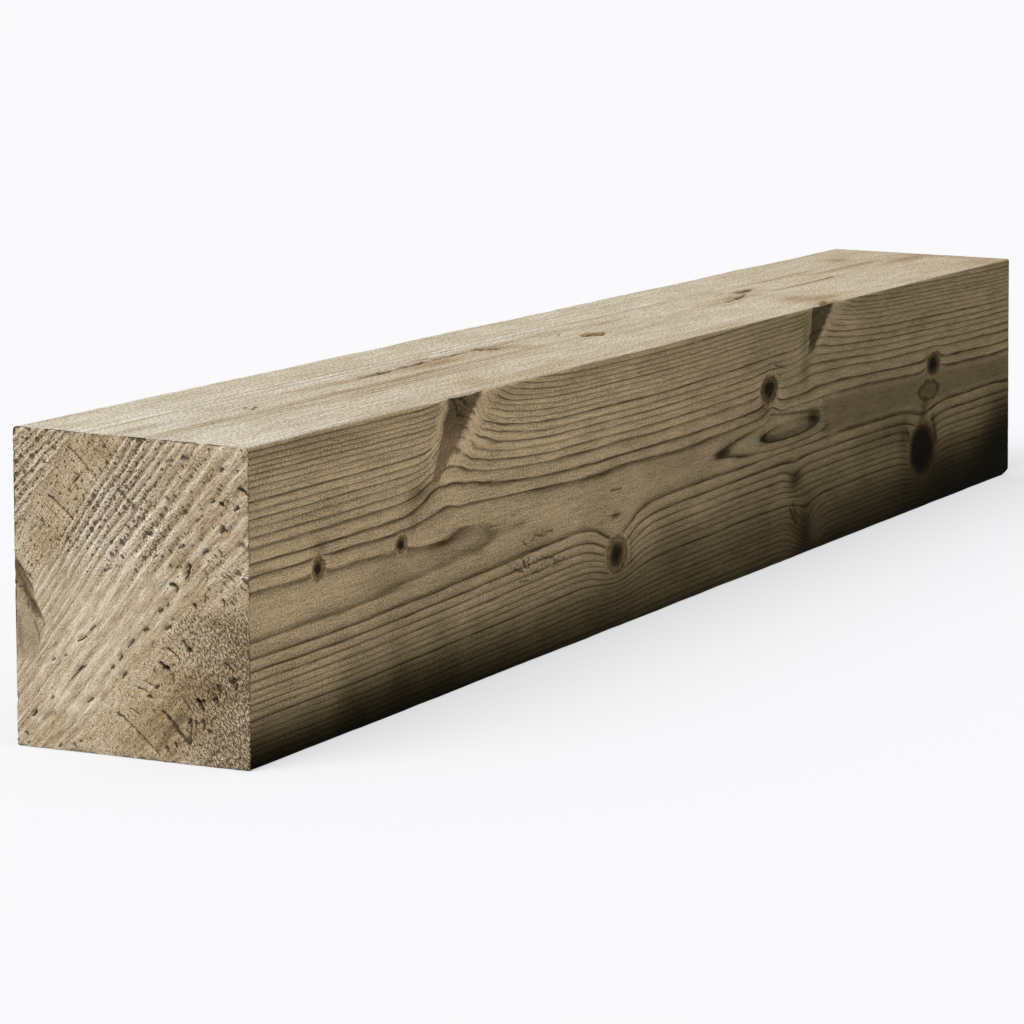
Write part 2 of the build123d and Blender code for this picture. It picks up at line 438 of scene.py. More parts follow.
def top_figure(along, across):
    """Even rings across the top, raised over knots, that show in a few streaks only."""
    swell = swelling(along, across, TOP_KNOTS + TOP_HIDDEN)
    wander = 0.12 * rough_hills(along / 170, across / 60, 23)
    ring = (across - TOP_FIRST_RING) / TOP_RING + swell + wander
    strength = np.clip(TOP_PLAIN_STRENGTH + patches(along, across, TOP_BUNDLES), 0, 1)
    shade = path(along, TOP_SHADE, SLOW_BLUR) * (1 + patches(along, across, TOP_SMUDGES))
    torn = 0.2 + 0.2 * hills(along / 60, across / 25, 27)
    flow = across + TOP_FIBRE_BEND * swell
    nought = np.zeros_like(along)
    return flow, ring, strength, nought, torn, nought + 1.0, shade


print("the top has", len(TOP_BUNDLES), "streaks and", len(TOP_SMUDGES), "smudges")

# %% [markdown]
# ## The faces that are out of sight
# The back was sawn further from the heart, so its rings stand wider apart, and its knots lie where
# such branches would come out. The base is like the top, with marks of the ground on it. Both use
# the same ring numbers as the faces in sight, so that all sides look sawn from one log.

# %% Figures of the back and the base
BACK_REACHES = (30, 46, 58, 68, 77, 85, 92, 99, 106, 113, 120)
BACK_KNOTS = (
    (240, 128, 12, 9, 1.2, 19), (610, 70, 15, 12, 1.5, 22), (955, 140, 9, 8, 1.1, 17),
    (1130, 62, 18, 14, 1.8, 25),
)
BASE_KNOTS = ((330, 70, 13, 8, 0.9, 18), (780, 118, 10, 7, 0.8, 16), (1120, 54, 15, 10, 1.0, 20))
BACK_HEART, BACK_WANDER = 98, 9
# the back is darker towards the bottom: height, softness and darkness of its dark foot
BACK_FOOT_HEIGHT, BACK_FOOT_SOFTNESS, BACK_FOOT_DARKNESS = 24, 8, 0.9


def back_figure(along, up):
    """Ring number by the distance from a wandering heart line, less the swelling over knots."""
    heart = BACK_HEART + BACK_WANDER * hills(along / 330, along * 0, 31)
    swell = swelling(along, up, BACK_KNOTS)
    reach = np.abs(up - heart)
    ring = np.interp(reach, (0,) + BACK_REACHES, np.arange(len(BACK_REACHES) + 1))
    wander = 0.08 * rough_hills(along / 90, up / 30, 35)
    ring += 0.9 * hills(along / 260, along * 0, 33) - swell + wander
    flow = up - FIBRE_BEND * np.sign(up - heart) * swell
    strength = 0.5 + 0.5 * ease(reach, 15, 45)
    # darker towards the bottom, an S as at the foot of the front
    stain_and_shade = BACK_FOOT_DARKNESS / (1 + np.exp((up - BACK_FOOT_HEIGHT) / BACK_FOOT_SOFTNESS))
    torn = 0.2 + 0.2 * hills(along / 70, up / 30, 37)
    shade = 0.95 + 0.1 * rough_hills(along / 200, up / 70, 36)
    return flow, ring, strength, stain_and_shade, torn, np.full_like(up, 0.5), shade


def base_figure(along, across):
    """Even rings as on the top, raised over knots, under clouds of ground stain."""
    swell = swelling(along, across, BASE_KNOTS)
    wander = 0.14 * rough_hills(along / 170, across / 60, 43)
    ring = (across - TOP_FIRST_RING) / TOP_RING + swell + wander
    flow = across + TOP_FIBRE_BEND * swell
    strength = 0.35 + 0.3 * hills(along / 240, across / 30, 44)
    stain_and_shade = np.clip(0.3 + 0.4 * rough_hills(along / 180, across / 60, 45), 0, 0.7)
    torn = 0.3 + 0.2 * hills(along / 70, across / 30, 47)
    shade = 0.9 + 0.12 * rough_hills(along / 120, across / 50, 46)
    return flow, ring, strength, stain_and_shade, torn, np.full_like(along, 0.8), shade


print("out of sight lie", len(BACK_KNOTS) + len(BASE_KNOTS), "knots")

# %% [markdown]
# ## The near end
# The near end was cut in several passes. In the wide middle band the blade left slanting ridges,
# narrow at its upper side and broad below, and fibres tore out between them. Above the band lies a
# smoother patch and then a corner of finer ridges. Below it the end grain is fuzzy and full of pits.

# %% Zones of the near end
# a bounding line: a point on it and its rise
UPPER_LINE = ((20, 112), 1.37)
LOWER_LINE = ((125, 95), 1.05)
CORNER_LINE = ((0, 135), 1.42)
# ridge numbers at these distances below the upper line, with the band taken as 95 wide
BAND_WIDTH = 95.0
RIDGE_PLACES = (-60, 0, 36, 62, 95, 200)
RIDGE_NUMBERS = (-11.0, 0, 6.7, 9.6, 13.1, 23.0)
CORNER_RIDGE, CORNER_TILT = 5.4, math.radians(43)
# how far the knot on the left edge reaches across at these heights
WEDGE_HEIGHTS = (52, 56, 62, 70, 79, 84, 90, 95, 102, 110, 117, 126)
WEDGE_REACHES = (0, 14, 17, 20, 23, 21, 18, 16, 13, 8, 4, -1)


def above_line(across, up, line):
    """Distance above a slanting line, negative below it."""
    (a, b), rise = line
    return (up - b - rise * (across - a)) / math.hypot(1, rise)


def wedge_edge(up):
    """How far the knot on the left edge reaches across at each height."""
    return np.interp(up, WEDGE_HEIGHTS, WEDGE_REACHES)


def knot_wedge(across, up):
    """1 inside the knot that the cut laid open on the left edge, 0 outside."""
    return ease(wedge_edge(up) - across, -1.0, 1.0) * ease(up, 53, 58) * (1 - ease(up, 124, 128))


def near_zones(across, up):
    """Ridge number, and shares of the ridged band, smooth patch, ridged corner, fuzz and knot."""
    bend = 2.0 * rough_hills(across / 60, up / 60, 52)
    upper = above_line(across, up + bend, UPPER_LINE)
    lower = above_line(across, up + bend, LOWER_LINE)
    ridge = np.interp(-BAND_WIDTH * upper / np.maximum(lower - upper, 1), RIDGE_PLACES, RIDGE_NUMBERS)
    over_corner = above_line(across, up, CORNER_LINE) + 3 * rough_hills(across / 9, up / 9, 54)
    corner = ease(over_corner, -4, 6)
    corner_ridge = (up * math.cos(CORNER_TILT) - across * math.sin(CORNER_TILT)) / CORNER_RIDGE
    over_band = ease(upper, -0.7, 0.7)
    under_band = ease(-lower + 1.5 * rough_hills(across / 8, up / 8, 55), -2, 2)
    fuzz = under_band * (1 - ease(up, 88, 116))
    wedge = knot_wedge(across, up)
    band = (1 - over_band) * (1 - fuzz) * (1 - wedge)
    patch = over_band * (1 - corner) * (1 - wedge)
    return np.where(corner > 0.4, corner_ridge, ridge), band, patch, corner, fuzz, wedge


print("ridges across the band:", np.interp(BAND_WIDTH, RIDGE_PLACES, RIDGE_NUMBERS))

# %% [markdown]
# ## Cracks of the near end
# Drying opened cracks in the end grain, and the saw left streaks and single torn holes. Each is one
# straight stroke with its own width, darkness and depth. They are listed one by one, because they
# are what tells this end from another, and the same list lowers the surface and darkens it.

# %% Strokes: cracks and dark streaks
# from and to, width, darkness and depth
END_STROKES = (
    ((77, 28), (108, 4), 0.9, 0.8, 4), ((111, 32), (131, 12), 1.1, 0.85, 4),
    ((43, 192), (63, 173), 0.8, 0.7, 3), ((27, 161), (45, 147), 0.9, 0.9, 4),
    ((63, 202), (75, 189), 0.6, 0.5, 1), ((57, 197), (73, 183), 0.5, 0.45, 1),
    ((50, 176), (46, 170), 0.9, 0.9, 3), ((46, 177), (51, 175), 0.7, 0.6, 1),
    ((46, 170), (50, 166), 0.6, 0.5, 1), ((25, 155), (35, 146), 0.6, 0.5, 1),
    ((52, 191), (62, 184), 0.5, 0.4, 0), ((7, 101), (10, 88), 1.0, 0.8, 3),
    ((115, 71.5), (123.5, 65), 1.0, 0.85, 3), ((109.6, 62), (112, 60), 1.4, 0.95, 3),
    ((112, 59.6), (116, 58.4), 2.2, 0.95, 4), ((93, 45), (103, 40), 0.8, 0.8, 3),
    ((97, 50), (107, 46), 0.6, 0.6, 1), ((126, 77.5), (130, 72.5), 0.9, 0.8, 2),
    ((130, 72.2), (133, 71), 2.2, 0.85, 3), ((136.8, 41.5), (141, 34.5), 1.9, 0.95, 4),
    ((132, 29), (131, 13), 0.8, 0.7, 2), ((129.4, 116.4), (131.8, 125), 1.6, 0.95, 4),
    ((143.2, 122.6), (144.6, 115.4), 0.8, 0.7, 1), ((48, 70.6), (54.5, 74.2), 1.0, 0.9, 2),
    ((43, 46.5), (54, 56.5), 0.9, 0.75, 1), ((47.5, 52), (51.5, 55), 1.3, 0.9, 2),
    ((86, 70), (90, 75), 0.9, 0.9, 2), ((79.5, 61), (81, 65), 1.1, 0.85, 2),
    ((81, 50), (84, 54), 1.0, 0.85, 2), ((69, 116), (74, 119), 0.9, 0.7, 1),
    ((152, 52), (153, 44), 1.0, 0.7, 2), ((163.6, 56.5), (165, 50.5), 1.6, 0.95, 3),
    ((118, 111.6), (121.8, 110.4), 1.5, 0.9, 3), ((121.4, 110.6), (122, 107.6), 1.5, 0.9, 3),
    ((168, 174), (174, 170), 1.2, 0.9, 3), ((87, 31.5), (94.5, 28), 0.8, 0.7, 1),
    ((108, 8), (126, 30), 4.0, 0.36, 1), ((12, 138), (17, 142), 0.7, 0.7, 1),
    ((21, 145), (24, 142), 0.8, 0.8, 1), ((2, 118), (10, 107), 1.6, 0.5, 1),
    ((10, 107), (14, 100), 1.4, 0.6, 1), ((13.5, 94), (20, 84), 1.8, 0.6, 1),
    ((20, 85), (22.5, 79), 1.0, 0.5, 1), ((15.5, 80), (18.5, 69), 0.9, 0.55, 1),
    ((3.5, 102), (7.5, 102), 1.1, 0.75, 1), ((8, 112), (14, 107), 1.2, 0.55, 1),
    ((2.5, 82), (5.6, 61), 2.6, 0.3, 0), ((16.5, 54.5), (22, 62), 0.8, 0.5, 0),
    ((22, 62), (32, 68), 0.7, 0.4, 0), ((28.5, 57), (30.5, 58.5), 1.1, 0.75, 1),
    ((37.8, 60.6), (39, 61.4), 1.2, 0.7, 1), ((58, 78.7), (61.5, 81.2), 0.9, 0.8, 1),
    ((73.4, 55.6), (74.6, 57.4), 1.4, 0.9, 2), ((103.4, 72.6), (104.6, 75.2), 0.9, 0.75, 1),
    ((102, 70), (100, 60), 0.5, 0.45, 0), ((118.5, 60.5), (120, 62), 1.0, 0.7, 1),
    ((105, 56.5), (107, 55), 1.0, 0.7, 1), ((105.5, 46), (108.5, 47.6), 1.2, 0.85, 1),
    ((100, 40.6), (103, 39.8), 1.2, 0.9, 2), ((118.8, 56), (119.4, 50), 1.0, 0.75, 1),
    ((126, 41), (131, 34.5), 0.9, 0.7, 1), ((141, 40.8), (142, 40.4), 1.6, 0.85, 2),
    ((149.6, 42.6), (151, 41.6), 2.4, 0.9, 3), ((157.4, 48), (157.2, 43.5), 1.1, 0.8, 1),
    ((157, 65.8), (163, 61.2), 0.9, 0.8, 2), ((161, 55), (162.5, 54), 1.6, 0.85, 2),
    ((131.6, 28.8), (130.6, 26.4), 1.6, 0.9, 2), ((135.6, 28), (135.8, 24.6), 1.2, 0.85, 1),
    ((141, 29), (141.4, 23.6), 1.3, 0.85, 2), ((144.8, 22.6), (146.6, 21.8), 1.5, 0.85, 2),
    ((113, 9.6), (114.4, 8.2), 2.0, 0.9, 2), ((120, 12.8), (121.4, 11), 1.6, 0.75, 1),
    ((104, 32), (105.4, 30.6), 1.2, 0.7, 1), ((118, 23.6), (130, 12.6), 1.4, 0.8, 2),
    ((130, 12.6), (132.4, 15.6), 1.4, 0.85, 2), ((143, 4.5), (155, 18), 3.4, 0.3, 0),
    ((154.6, 183.8), (156.6, 185), 1.6, 0.85, 2), ((153, 172.4), (155, 171.6), 1.2, 0.8, 1),
    ((148, 164.2), (150.4, 165.2), 1.2, 0.85, 2), ((154.6, 164), (156.4, 162.4), 1.8, 0.9, 3),
    ((159.4, 164.4), (160.6, 166), 1.2, 0.75, 1), ((165.4, 160.2), (167.6, 162.4), 1.6, 0.9, 3),
    ((155.2, 146), (157, 149.4), 1.8, 0.9, 3), ((158.2, 147.4), (159.4, 146.6), 1.3, 0.8, 1),
    ((168.4, 139.6), (172, 138), 2.6, 0.5, 2), ((142.4, 132.6), (144.8, 134.4), 1.8, 0.8, 2),
    ((153.6, 135), (155, 131.8), 1.2, 0.85, 2), ((124, 134.6), (128, 136), 1.4, 0.75, 2),
    ((127, 190), (131.5, 189.6), 2.0, 0.7, 2), ((128, 156), (131, 157), 1.4, 0.7, 1),
    ((137, 151.8), (139.4, 153), 1.2, 0.8, 1), ((101, 141.6), (104.4, 142.2), 1.8, 0.75, 2),
    ((105.6, 127.4), (108.4, 129), 1.3, 0.75, 1), ((115.6, 187.6), (119.6, 188.4), 1.6, 0.65, 1),
    ((143.6, 106.4), (142.6, 102), 1.0, 0.75, 1), ((156.2, 105), (156.6, 100.4), 1.2, 0.85, 2),
    ((135, 100.6), (136.2, 98.8), 1.6, 0.9, 2), ((115.2, 98), (116.2, 99.4), 1.2, 0.8, 1),
    ((109.4, 94), (111.6, 95.4), 1.6, 0.85, 2), ((98, 81.4), (101, 82.4), 1.5, 0.8, 2),
    ((114, 83.4), (118, 85.4), 1.6, 0.8, 2), ((118.8, 89.6), (120.6, 90), 1.2, 0.7, 1),
    ((132, 82.2), (137, 81.8), 1.2, 0.6, 1), ((12.6, 20.4), (15.6, 23.4), 1.3, 0.9, 2),
    ((21, 18.8), (29.4, 23.8), 2.4, 0.35, 1), ((55, 33), (59, 35.4), 1.0, 0.85, 1),
    ((27.4, 32.6), (28.8, 33.8), 1.2, 0.75, 1), ((7, 9), (8.4, 8), 1.4, 0.8, 1),
    ((8.4, 2.6), (9.6, 3.2), 1.2, 0.8, 1), ((32.6, 2.6), (34, 4), 1.3, 0.8, 1),
    ((44, 5.4), (45, 3), 1.2, 0.8, 1), ((48.4, 6.6), (49.4, 7.4), 1.3, 0.7, 1),
    ((34.6, 11), (55, 25.5), 0.6, 0.45, 0), ((37.4, 7.4), (47, 15), 0.6, 0.45, 0),
)
print("the near end has", len(END_STROKES), "strokes")


def off_line(a, b, start, end):
    """Distance from a straight stroke, and how near the place is to its middle, from 0 to 1."""
    run = np.subtract(end, start)
    share = np.clip(((a - start[0]) * run[0] + (b - start[1]) * run[1]) / (run @ run), 0, 1)
    away = np.hypot(a - start[0] - share * run[0], b - start[1] - share * run[1])
    return away, np.sin(np.pi * share)


def stroke_depth(a, b, strokes, slack):
    """Depth of the deepest stroke at each place: full on its line, none a slack width away."""
    depth = np.zeros_like(a)
    for start, end, width, _, deep in strokes:
        away, middle = off_line(a, b, start, end)
        well = 1 - ease(away, width / 2, width / 2 + slack)
        depth = np.maximum(depth, deep * middle**0.5 * well)
    return depth

# %% [markdown]
# ## Pits of the near end
# Pits are places where bundles of fibres came out. They lie in chains between the ridges, and at
# random in the fuzz. A pit could be cut as a hole, but a field of hills with its peaks kept gives
# thousands at once, and the zones say how thick they lie.

# %% Pits
RIDGE_RUN = (0.69, 0.72)


def slanted(across, up):
    """Coordinates along and across the saw ridges."""
    ahead, aside = RIDGE_RUN
    return ahead * across + aside * up, aside * across - ahead * up


def near_pits(across, up):
    """Pits from 0 to 1: chains in the grooves of the band and the corner, and dots in the fuzz."""
    ridge, band, patch, corner, fuzz, _ = near_zones(across, up)
    groove = 0.5 + 0.5 * np.cos(2 * np.pi * ridge)
    run, side = slanted(across, up)
    high = ease(up + 0.1 * across, 112, 150)
    chain = hills(run / 2.1, side / 1.6, 81) + 0.3 * hills(run / 9, side / 5, 88)
    chain = chain + 0.75 * groove**2
    pits = ease(chain, 0.92, 1.3) * np.maximum(band * (0.1 + 0.9 * high), 0.95 * corner)
    dots = hills(across / 1.7, up / 1.7, 82) + 0.5 * hills(across / 4, up / 4, 89)
    dots = dots + 0.4 * hills(across / 17, up / 17, 84)
    rightness = 0.5 + 0.5 * ease(across, 95, 165)
    pits = np.maximum(pits, ease(dots, 0.45, 0.9) * fuzz * rightness)
    edge = ease(across, 125, 160) * (1 - fuzz) * ease(up, 60, 90)
    pits = np.maximum(pits, ease(dots, 0.65, 1.0) * np.maximum(0.9 * edge, 0.35 * patch))
    chips = rough_hills(across / 5, up / 5, 86) - np.minimum(across, WIDTH - across) / 3
    return np.maximum(pits, ease(chips, 0.0, 0.4) * ease(across, 80, 120))


end_across, end_up = np.meshgrid(np.arange(WIDTH), np.arange(FRONT_HEIGHT))
print("pitted share of the near end:", (near_pits(end_across, end_up) > 0.5).mean().round(3))

# %% [markdown]
# ## Figures of the two ends
# The near end's figure follows its zones: strong ridges high up, chains of pits between them, fuzz
# below, and a dark line of bark round the knot on its left edge. The far end is out of sight. It is
# a plain cut across the rings, which lie round the same heart.

# %% Figures of the ends
# pale and dark patches: a place, two half sizes and a strength
NEAR_SHADE = (
    (45, 95, 45, 40, 0.1), (55, 40, 45, 32, 0.06), (140, 55, 45, 40, -0.16),
    (168, 68, 14, 26, -0.2), (128, 128, 9, 9, -0.25), (62, 192, 20, 12, -0.16),
    (40, 150, 26, 24, -0.1), (150, 148, 40, 30, -0.06), (128, 45, 16, 20, -0.12),
    (147, 49, 7, 6, -0.3), (150, 89.5, 6, 3, -0.3), (125.5, 115.5, 2, 4.5, 0.5),
    (15, 25, 25, 25, 0.03), (80, 140, 20, 16, 0.05), (118, 22, 34, 26, -0.2),
    (168, 25, 20, 34, -0.16), (60, 130, 18, 14, 0.16), (150, 100, 24, 14, -0.1),
    (20, 135, 20, 18, -0.08), (100, 18, 26, 22, -0.14), (18, 10, 20, 12, -0.08),
    (165, 45, 14, 34, 0.16), (110, 135, 30, 16, 0.07), (75, 162, 30, 34, 0.09),
    (60, 8, 70, 12, -0.09),
)
# where the far end shows the heart of the tree, and its ring width
FAR_HEART, FAR_RING = (130, 97), 5.4
# the way its saw ran
FAR_SAW_RUN = (0.94, 0.34)


def near_end_figure(across, up):
    """Each zone gives its share of ridges, pits and fuzz. The knot's bark and the rim are stained."""
    ridge, band, patch, corner, fuzz, wedge = near_zones(across, up)
    run, _ = slanted(across, up)
    high = ease(up + 0.1 * across, 105, 150)
    left = 1 - ease(ridge, 5.5, 8.0)
    right = ease(across + 0.25 * up, 140, 175)
    strength = band * (0.32 + 0.36 * high + 0.16 * left) * (1 - 0.3 * right) + 0.55 * corner
    luck = 0.8 + 0.35 * hills(run / 16, ridge * 1.3, 81)
    edge = ease(across, 125, 160) * (1 - fuzz) * ease(up, 60, 90) * (1 - ease(up, 118, 145))
    chained = band * (0.1 + 0.82 * high) * (1 - 0.55 * right) * luck
    pitted = np.maximum(chained + 0.75 * corner + 0.5 * patch, 0.75 * edge)
    pitted = np.clip(pitted, 0, 1) * (1 - wedge)
    fuzzed = fuzz * (0.6 + 0.4 * ease(across, 95, 165))
    shade = (1 + patches(across, up, NEAR_SHADE)) * (1 - 0.1 * patch) * (1 - 0.12 * wedge)
    rim = np.minimum(np.minimum(across, WIDTH - across), up)
    bark = np.exp(-(((wedge_edge(up) - across - 4) / 3.5) ** 2)) * ease(up, 78, 88)
    stain_and_shade = wedge * np.maximum(0.85 * bark, 0.28 + 0.45 * ease(up, 96, 110))
    stain_and_shade = stain_and_shade + 0.5 * (1 - ease(rim, 0.0, 1.2)) * (across > 100)
    return run, ridge, np.clip(strength, 0, 1), stain_and_shade, pitted, fuzzed, shade


def far_end_figure(across, up):
    """Rings round the heart, crossed by the saw: the ring number is the distance from the heart."""
    reach = np.hypot(across - FAR_HEART[0], up - FAR_HEART[1])
    ring = reach / FAR_RING + 0.3 * rough_hills(across / 40, up / 40, 61)
    shade = 0.95 + 0.12 * rough_hills(across / 50, up / 50, 63)
    pitted = np.clip(0.4 + 0.4 * rough_hills(across / 30, up / 30, 64), 0, 1)
    flow = across * FAR_SAW_RUN[0] + up * FAR_SAW_RUN[1]
    nought = np.zeros_like(across)
    return flow, ring, nought + 0.45, nought, pitted, nought + 0.3, shade


print("far end shows", round(FAR_HEART[0] / FAR_RING), "rings from the heart to the back")

# %% [markdown]
# ## Relief
# Saw, weather and torn grain move the surface by up to a few millimetres. Each face has a depth for
# every point, counted inwards. A bump in the finish alone would leave the outline smooth. The
# finishes darken the same places, so that light and colour agree.

# %% Depth of the long faces
# cracks and torn spots of the top: from and to, width, darkness and depth
TOP_STROKES = (
    ((300, 75), (345, 73.5), 3.2, 0.6, 1), ((330, 73.8), (396, 71), 3.4, 0.9, 2.5),
    ((415, 70), (452, 68.5), 3.4, 0.9, 2.5), ((396, 71), (421, 70), 2.6, 0.6, 1),
    ((450, 69), (481, 68), 3.0, 0.8, 2), ((475, 69), (489, 81), 3.2, 0.75, 1),
    ((577, 85), (590, 79), 1.0, 0.5, 1), ((136, 92), (150, 86), 2.2, 0.75, 1),
    ((137, 86), (143, 82), 1.6, 0.6, 1), ((848, 98), (893, 93), 2.6, 0.6, 1),
    ((878, 95), (900, 90), 3.0, 0.75, 1), ((896, 91), (914, 85), 3.2, 0.5, 1),
    ((912, 79), (942, 76), 3.6, 0.7, 1), ((926, 82), (942, 77), 3.0, 0.6, 1),
    ((880, 74), (901, 71), 2.0, 0.45, 0), ((1056, 98), (1074, 96), 2.4, 0.5, 0),
    ((585, 103), (600, 99), 2.4, 0.7, 1), ((597, 109), (608, 107), 3.0, 0.65, 1),
    ((875, 172), (893, 166), 4.5, 0.55, 1),
)
# where spikes run out through the top front arris, and how far each tear reaches
TORN_ARRISES = ((274, 22), (879, 27))


def hollow(a, b, knots):
    """A hollow over each knot: the fourth power of the distance keeps its floor level."""
    return sum(np.exp(-(((a - u) / p) ** 2 + ((b - v) / q) ** 2) ** 2) for u, v, p, q, *_ in knots)


def front_depth(along, up):
    """The wander of the saw, rough spikes, hollow knots and torn places, added up."""
    depth = 0.1 + 0.2 * hills(along / 80, up / 70, 71)
    rough = rough_hills(along / 5, up / 4, 72)
    for spike in FRONT_SPIKE_SIDES:
        depth += spike_cover(along, up, *spike) * (0.9 + rough)
    depth += 0.7 * hollow(along, up, FRONT_ALL_KNOTS) * (1 + 0.6 * rough)
    return depth + 0.5 * patches(along, up, FRONT_TORN) * np.clip(rough, 0, 1)


def top_depth(along, across):
    """The wander of the saw and its fine marks, a hollow knot and the cracks."""
    depth = 0.1 + 0.2 * hills(along / 90, across / 60, 74) + 0.15 * hills(along / 7, across / 3, 75)
    depth += 0.5 * hollow(along, across, TOP_KNOTS)
    return depth + stroke_depth(along, across, TOP_STROKES, 1.4)


def plain_depth(seed):
    """Depth of a sawn face with nothing but the wander of the saw on it."""
    return lambda a, b: 0.1 + 0.2 * hills(a / 85, b / 60, seed) + 0.1 * hills(a / 7, b / 4, seed + 1)


def back_depth(along, up):
    """A plain sawn face, with bites out of it where the near end was cut."""
    bites = 2.2 * np.exp(-along / 7) * np.clip(rough_hills(up / 7, along / 7, 80), 0, 1)
    return plain_depth(76)(along, up) + bites


look_along, look_up = np.meshgrid(np.arange(LENGTH), np.arange(FRONT_HEIGHT))
print("the front sinks by up to", front_depth(look_along, look_up).max().round(1), "mm")

# %% [markdown]
# ## Relief of the ends
# The saw's ridges are waves of the ridge number. Pits and cracks sink below them, and the rim is
# ragged where fibres broke away. The far end has broad waves and notches along its rim.

# %% Depth of the ends
FAR_WAVE = 6.5


def rim_distance(across, up):
    """Distance from the nearest edge of an end."""
    return np.minimum(np.minimum(across, WIDTH - across), np.minimum(up, FRONT_HEIGHT - up))


def near_end_depth(across, up):
    """Grooves between the ridges, pits, raised fibres, a ragged rim and the strokes, added up."""
    ridge, band, _, corner, fuzz, _ = near_zones(across, up)
    groove = 0.5 + 0.5 * np.cos(2 * np.pi * ridge)
    high = ease(up + 0.1 * across, 105, 150)
    fibres = 0.25 * rough_hills(across / 1.9, up / 1.9, 87)
    depth = 0.4 + groove * (band * (0.15 + 0.21 * high) + 0.34 * corner)
    depth = depth + (0.7 - 0.25 * fuzz) * near_pits(across, up)
    depth = depth + fibres * (0.2 + 0.9 * fuzz + 0.4 * corner + 0.3 * high * band)
    rim = np.maximum(rim_distance(across, up), 0)
    ragged = np.exp(-rim / 1.6) * (0.6 + 1.2 * rough_hills(across / 5, up / 5, 83))
    return depth + np.maximum(ragged, 0) + stroke_depth(across, up, END_STROKES, 0.9)


def far_end_depth(across, up):
    """Broad waves across the saw's run, torn fibres, and notches that fade away from the rim."""
    wave = 0.5 - 0.5 * np.cos(2 * np.pi * (across * FAR_SAW_RUN[1] - up * FAR_SAW_RUN[0]) / FAR_WAVE)
    rim = np.maximum(rim_distance(across, up), 0)
    deep = 2.5 + 3.0 * ease(across, 120, WIDTH)
    notches = deep * np.exp(-rim / 2.5) * np.clip(rough_hills(across / 6, up / 5, 84), 0, 1)
    return 0.3 + 0.4 * wave + 0.6 * np.clip(rough_hills(across / 4, up / 4, 85), 0, 1) + notches


print("the near end sinks by up to", near_end_depth(end_across, end_up).max().round(1), "mm")

# %% [markdown]
# ## The grid of the skin
# The skin is a closed box of grid cells: a sleeve round the four long faces and a sheet on each end.
# Grid lines crowd at the arrises, where the edges turn, and along the length near knots. The near
# end shows its saw marks, so its grid is twice as fine, and a row of five-sided cells joins the two.

# %% Grid lines
CELLS_ACROSS, CELLS_UP, CELLS_ALONG = 78, 89, 176
ARRIS_ROWS = np.array((0.0, 0.8, 2.2))
BUSY_PLACES = (82, 190, 215, 240, 265, 290, 485, 510, 604, 675, 755, 785, 815, 845, 875, 1075, 1105)
BUSY_REACH, BUSY_CROWDING = 26.0, 2.0
TRIAL_STEPS = 4001


def rows_across(size, cells):
    """Shares from 0 to 1: close rows at both arrises and even rows between them."""
    even = np.linspace(ARRIS_ROWS[-1], size - ARRIS_ROWS[-1], cells - 3)
    return np.r_[ARRIS_ROWS[:-1], even, size - ARRIS_ROWS[-2::-1]] / size


def rows_along():
    """Shares of the length: closer where knots are, with close rows at both cut ends."""
    fine = np.linspace(0, LENGTH, TRIAL_STEPS)
    busy = np.exp(-(((fine[:, None] - BUSY_PLACES) / BUSY_REACH) ** 2)).max(axis=1)
    crowd = 1 + BUSY_CROWDING * busy
    travel = np.cumsum(crowd) - crowd[0]
    even = np.interp(np.linspace(0, travel[-1], CELLS_ALONG - 3), travel, fine)
    return np.r_[ARRIS_ROWS, even[1:-1], LENGTH - ARRIS_ROWS[::-1]] / LENGTH


def with_midpoints(rows):
    """The same rows with one more half way between each two."""
    doubled = np.empty(2 * len(rows) - 1)
    doubled[::2], doubled[1::2] = rows, (rows[:-1] + rows[1:]) / 2
    return doubled


across_rows = rows_across(WIDTH, CELLS_ACROSS)
up_rows = rows_across(FRONT_HEIGHT, CELLS_UP)
along_rows = rows_along()
print("grid", len(along_rows), "x", len(across_rows), "x", len(up_rows))

# %% [markdown]
# ## Corners of the cells
# Walking round a section, up the front, over the top, down the back and along the base, gives one
# ring of points. Every point has three shares: along, from front to back, and up. Whole index
# arrays then name the corners of all cells of a face at once, in the turn that faces outwards.

# %% Points and cells
def ring_shares(across, up):
    """Front-to-back and up shares of the points on one walk round the section."""
    zero, one = np.zeros_like, np.ones_like
    y = np.r_[zero(up[:-1]), across[:-1], one(up[:-1]), across[:0:-1]]
    z = np.r_[up[:-1], one(across[:-1]), up[:0:-1], zero(across[:-1])]
    return y, z


def sheet_ring(index):
    """The rim of a sheet of point numbers, in the order of the walk round the section."""
    return np.r_[index[0, :-1], index[:-1, -1], index[-1, :0:-1], index[:0:-1, 0]]


fine_across, fine_up = with_midpoints(across_rows), with_midpoints(up_rows)
near_y, near_z = np.meshgrid(fine_across, fine_up, indexing="ij")
near_index = np.arange(near_y.size).reshape(near_y.shape)
ring_y, ring_z = ring_shares(across_rows, up_rows)
rings, ring_size = len(along_rows) - 1, len(ring_y)
sleeve_index = near_y.size + np.arange(rings * ring_size).reshape(rings, ring_size)
far_y, far_z = np.meshgrid(across_rows[1:-1], up_rows[1:-1], indexing="ij")
far_index = np.empty((len(across_rows), len(up_rows)), int)
far_index[1:-1, 1:-1] = near_y.size + rings * ring_size + np.arange(far_y.size).reshape(far_y.shape)
last = sleeve_index[-1]
n, m = CELLS_UP, CELLS_ACROSS
far_index[0, :-1], far_index[:-1, -1] = last[:n], last[n : n + m]
far_index[-1, :0:-1], far_index[:0:-1, 0] = last[n + m : 2 * n + m], last[2 * n + m :]

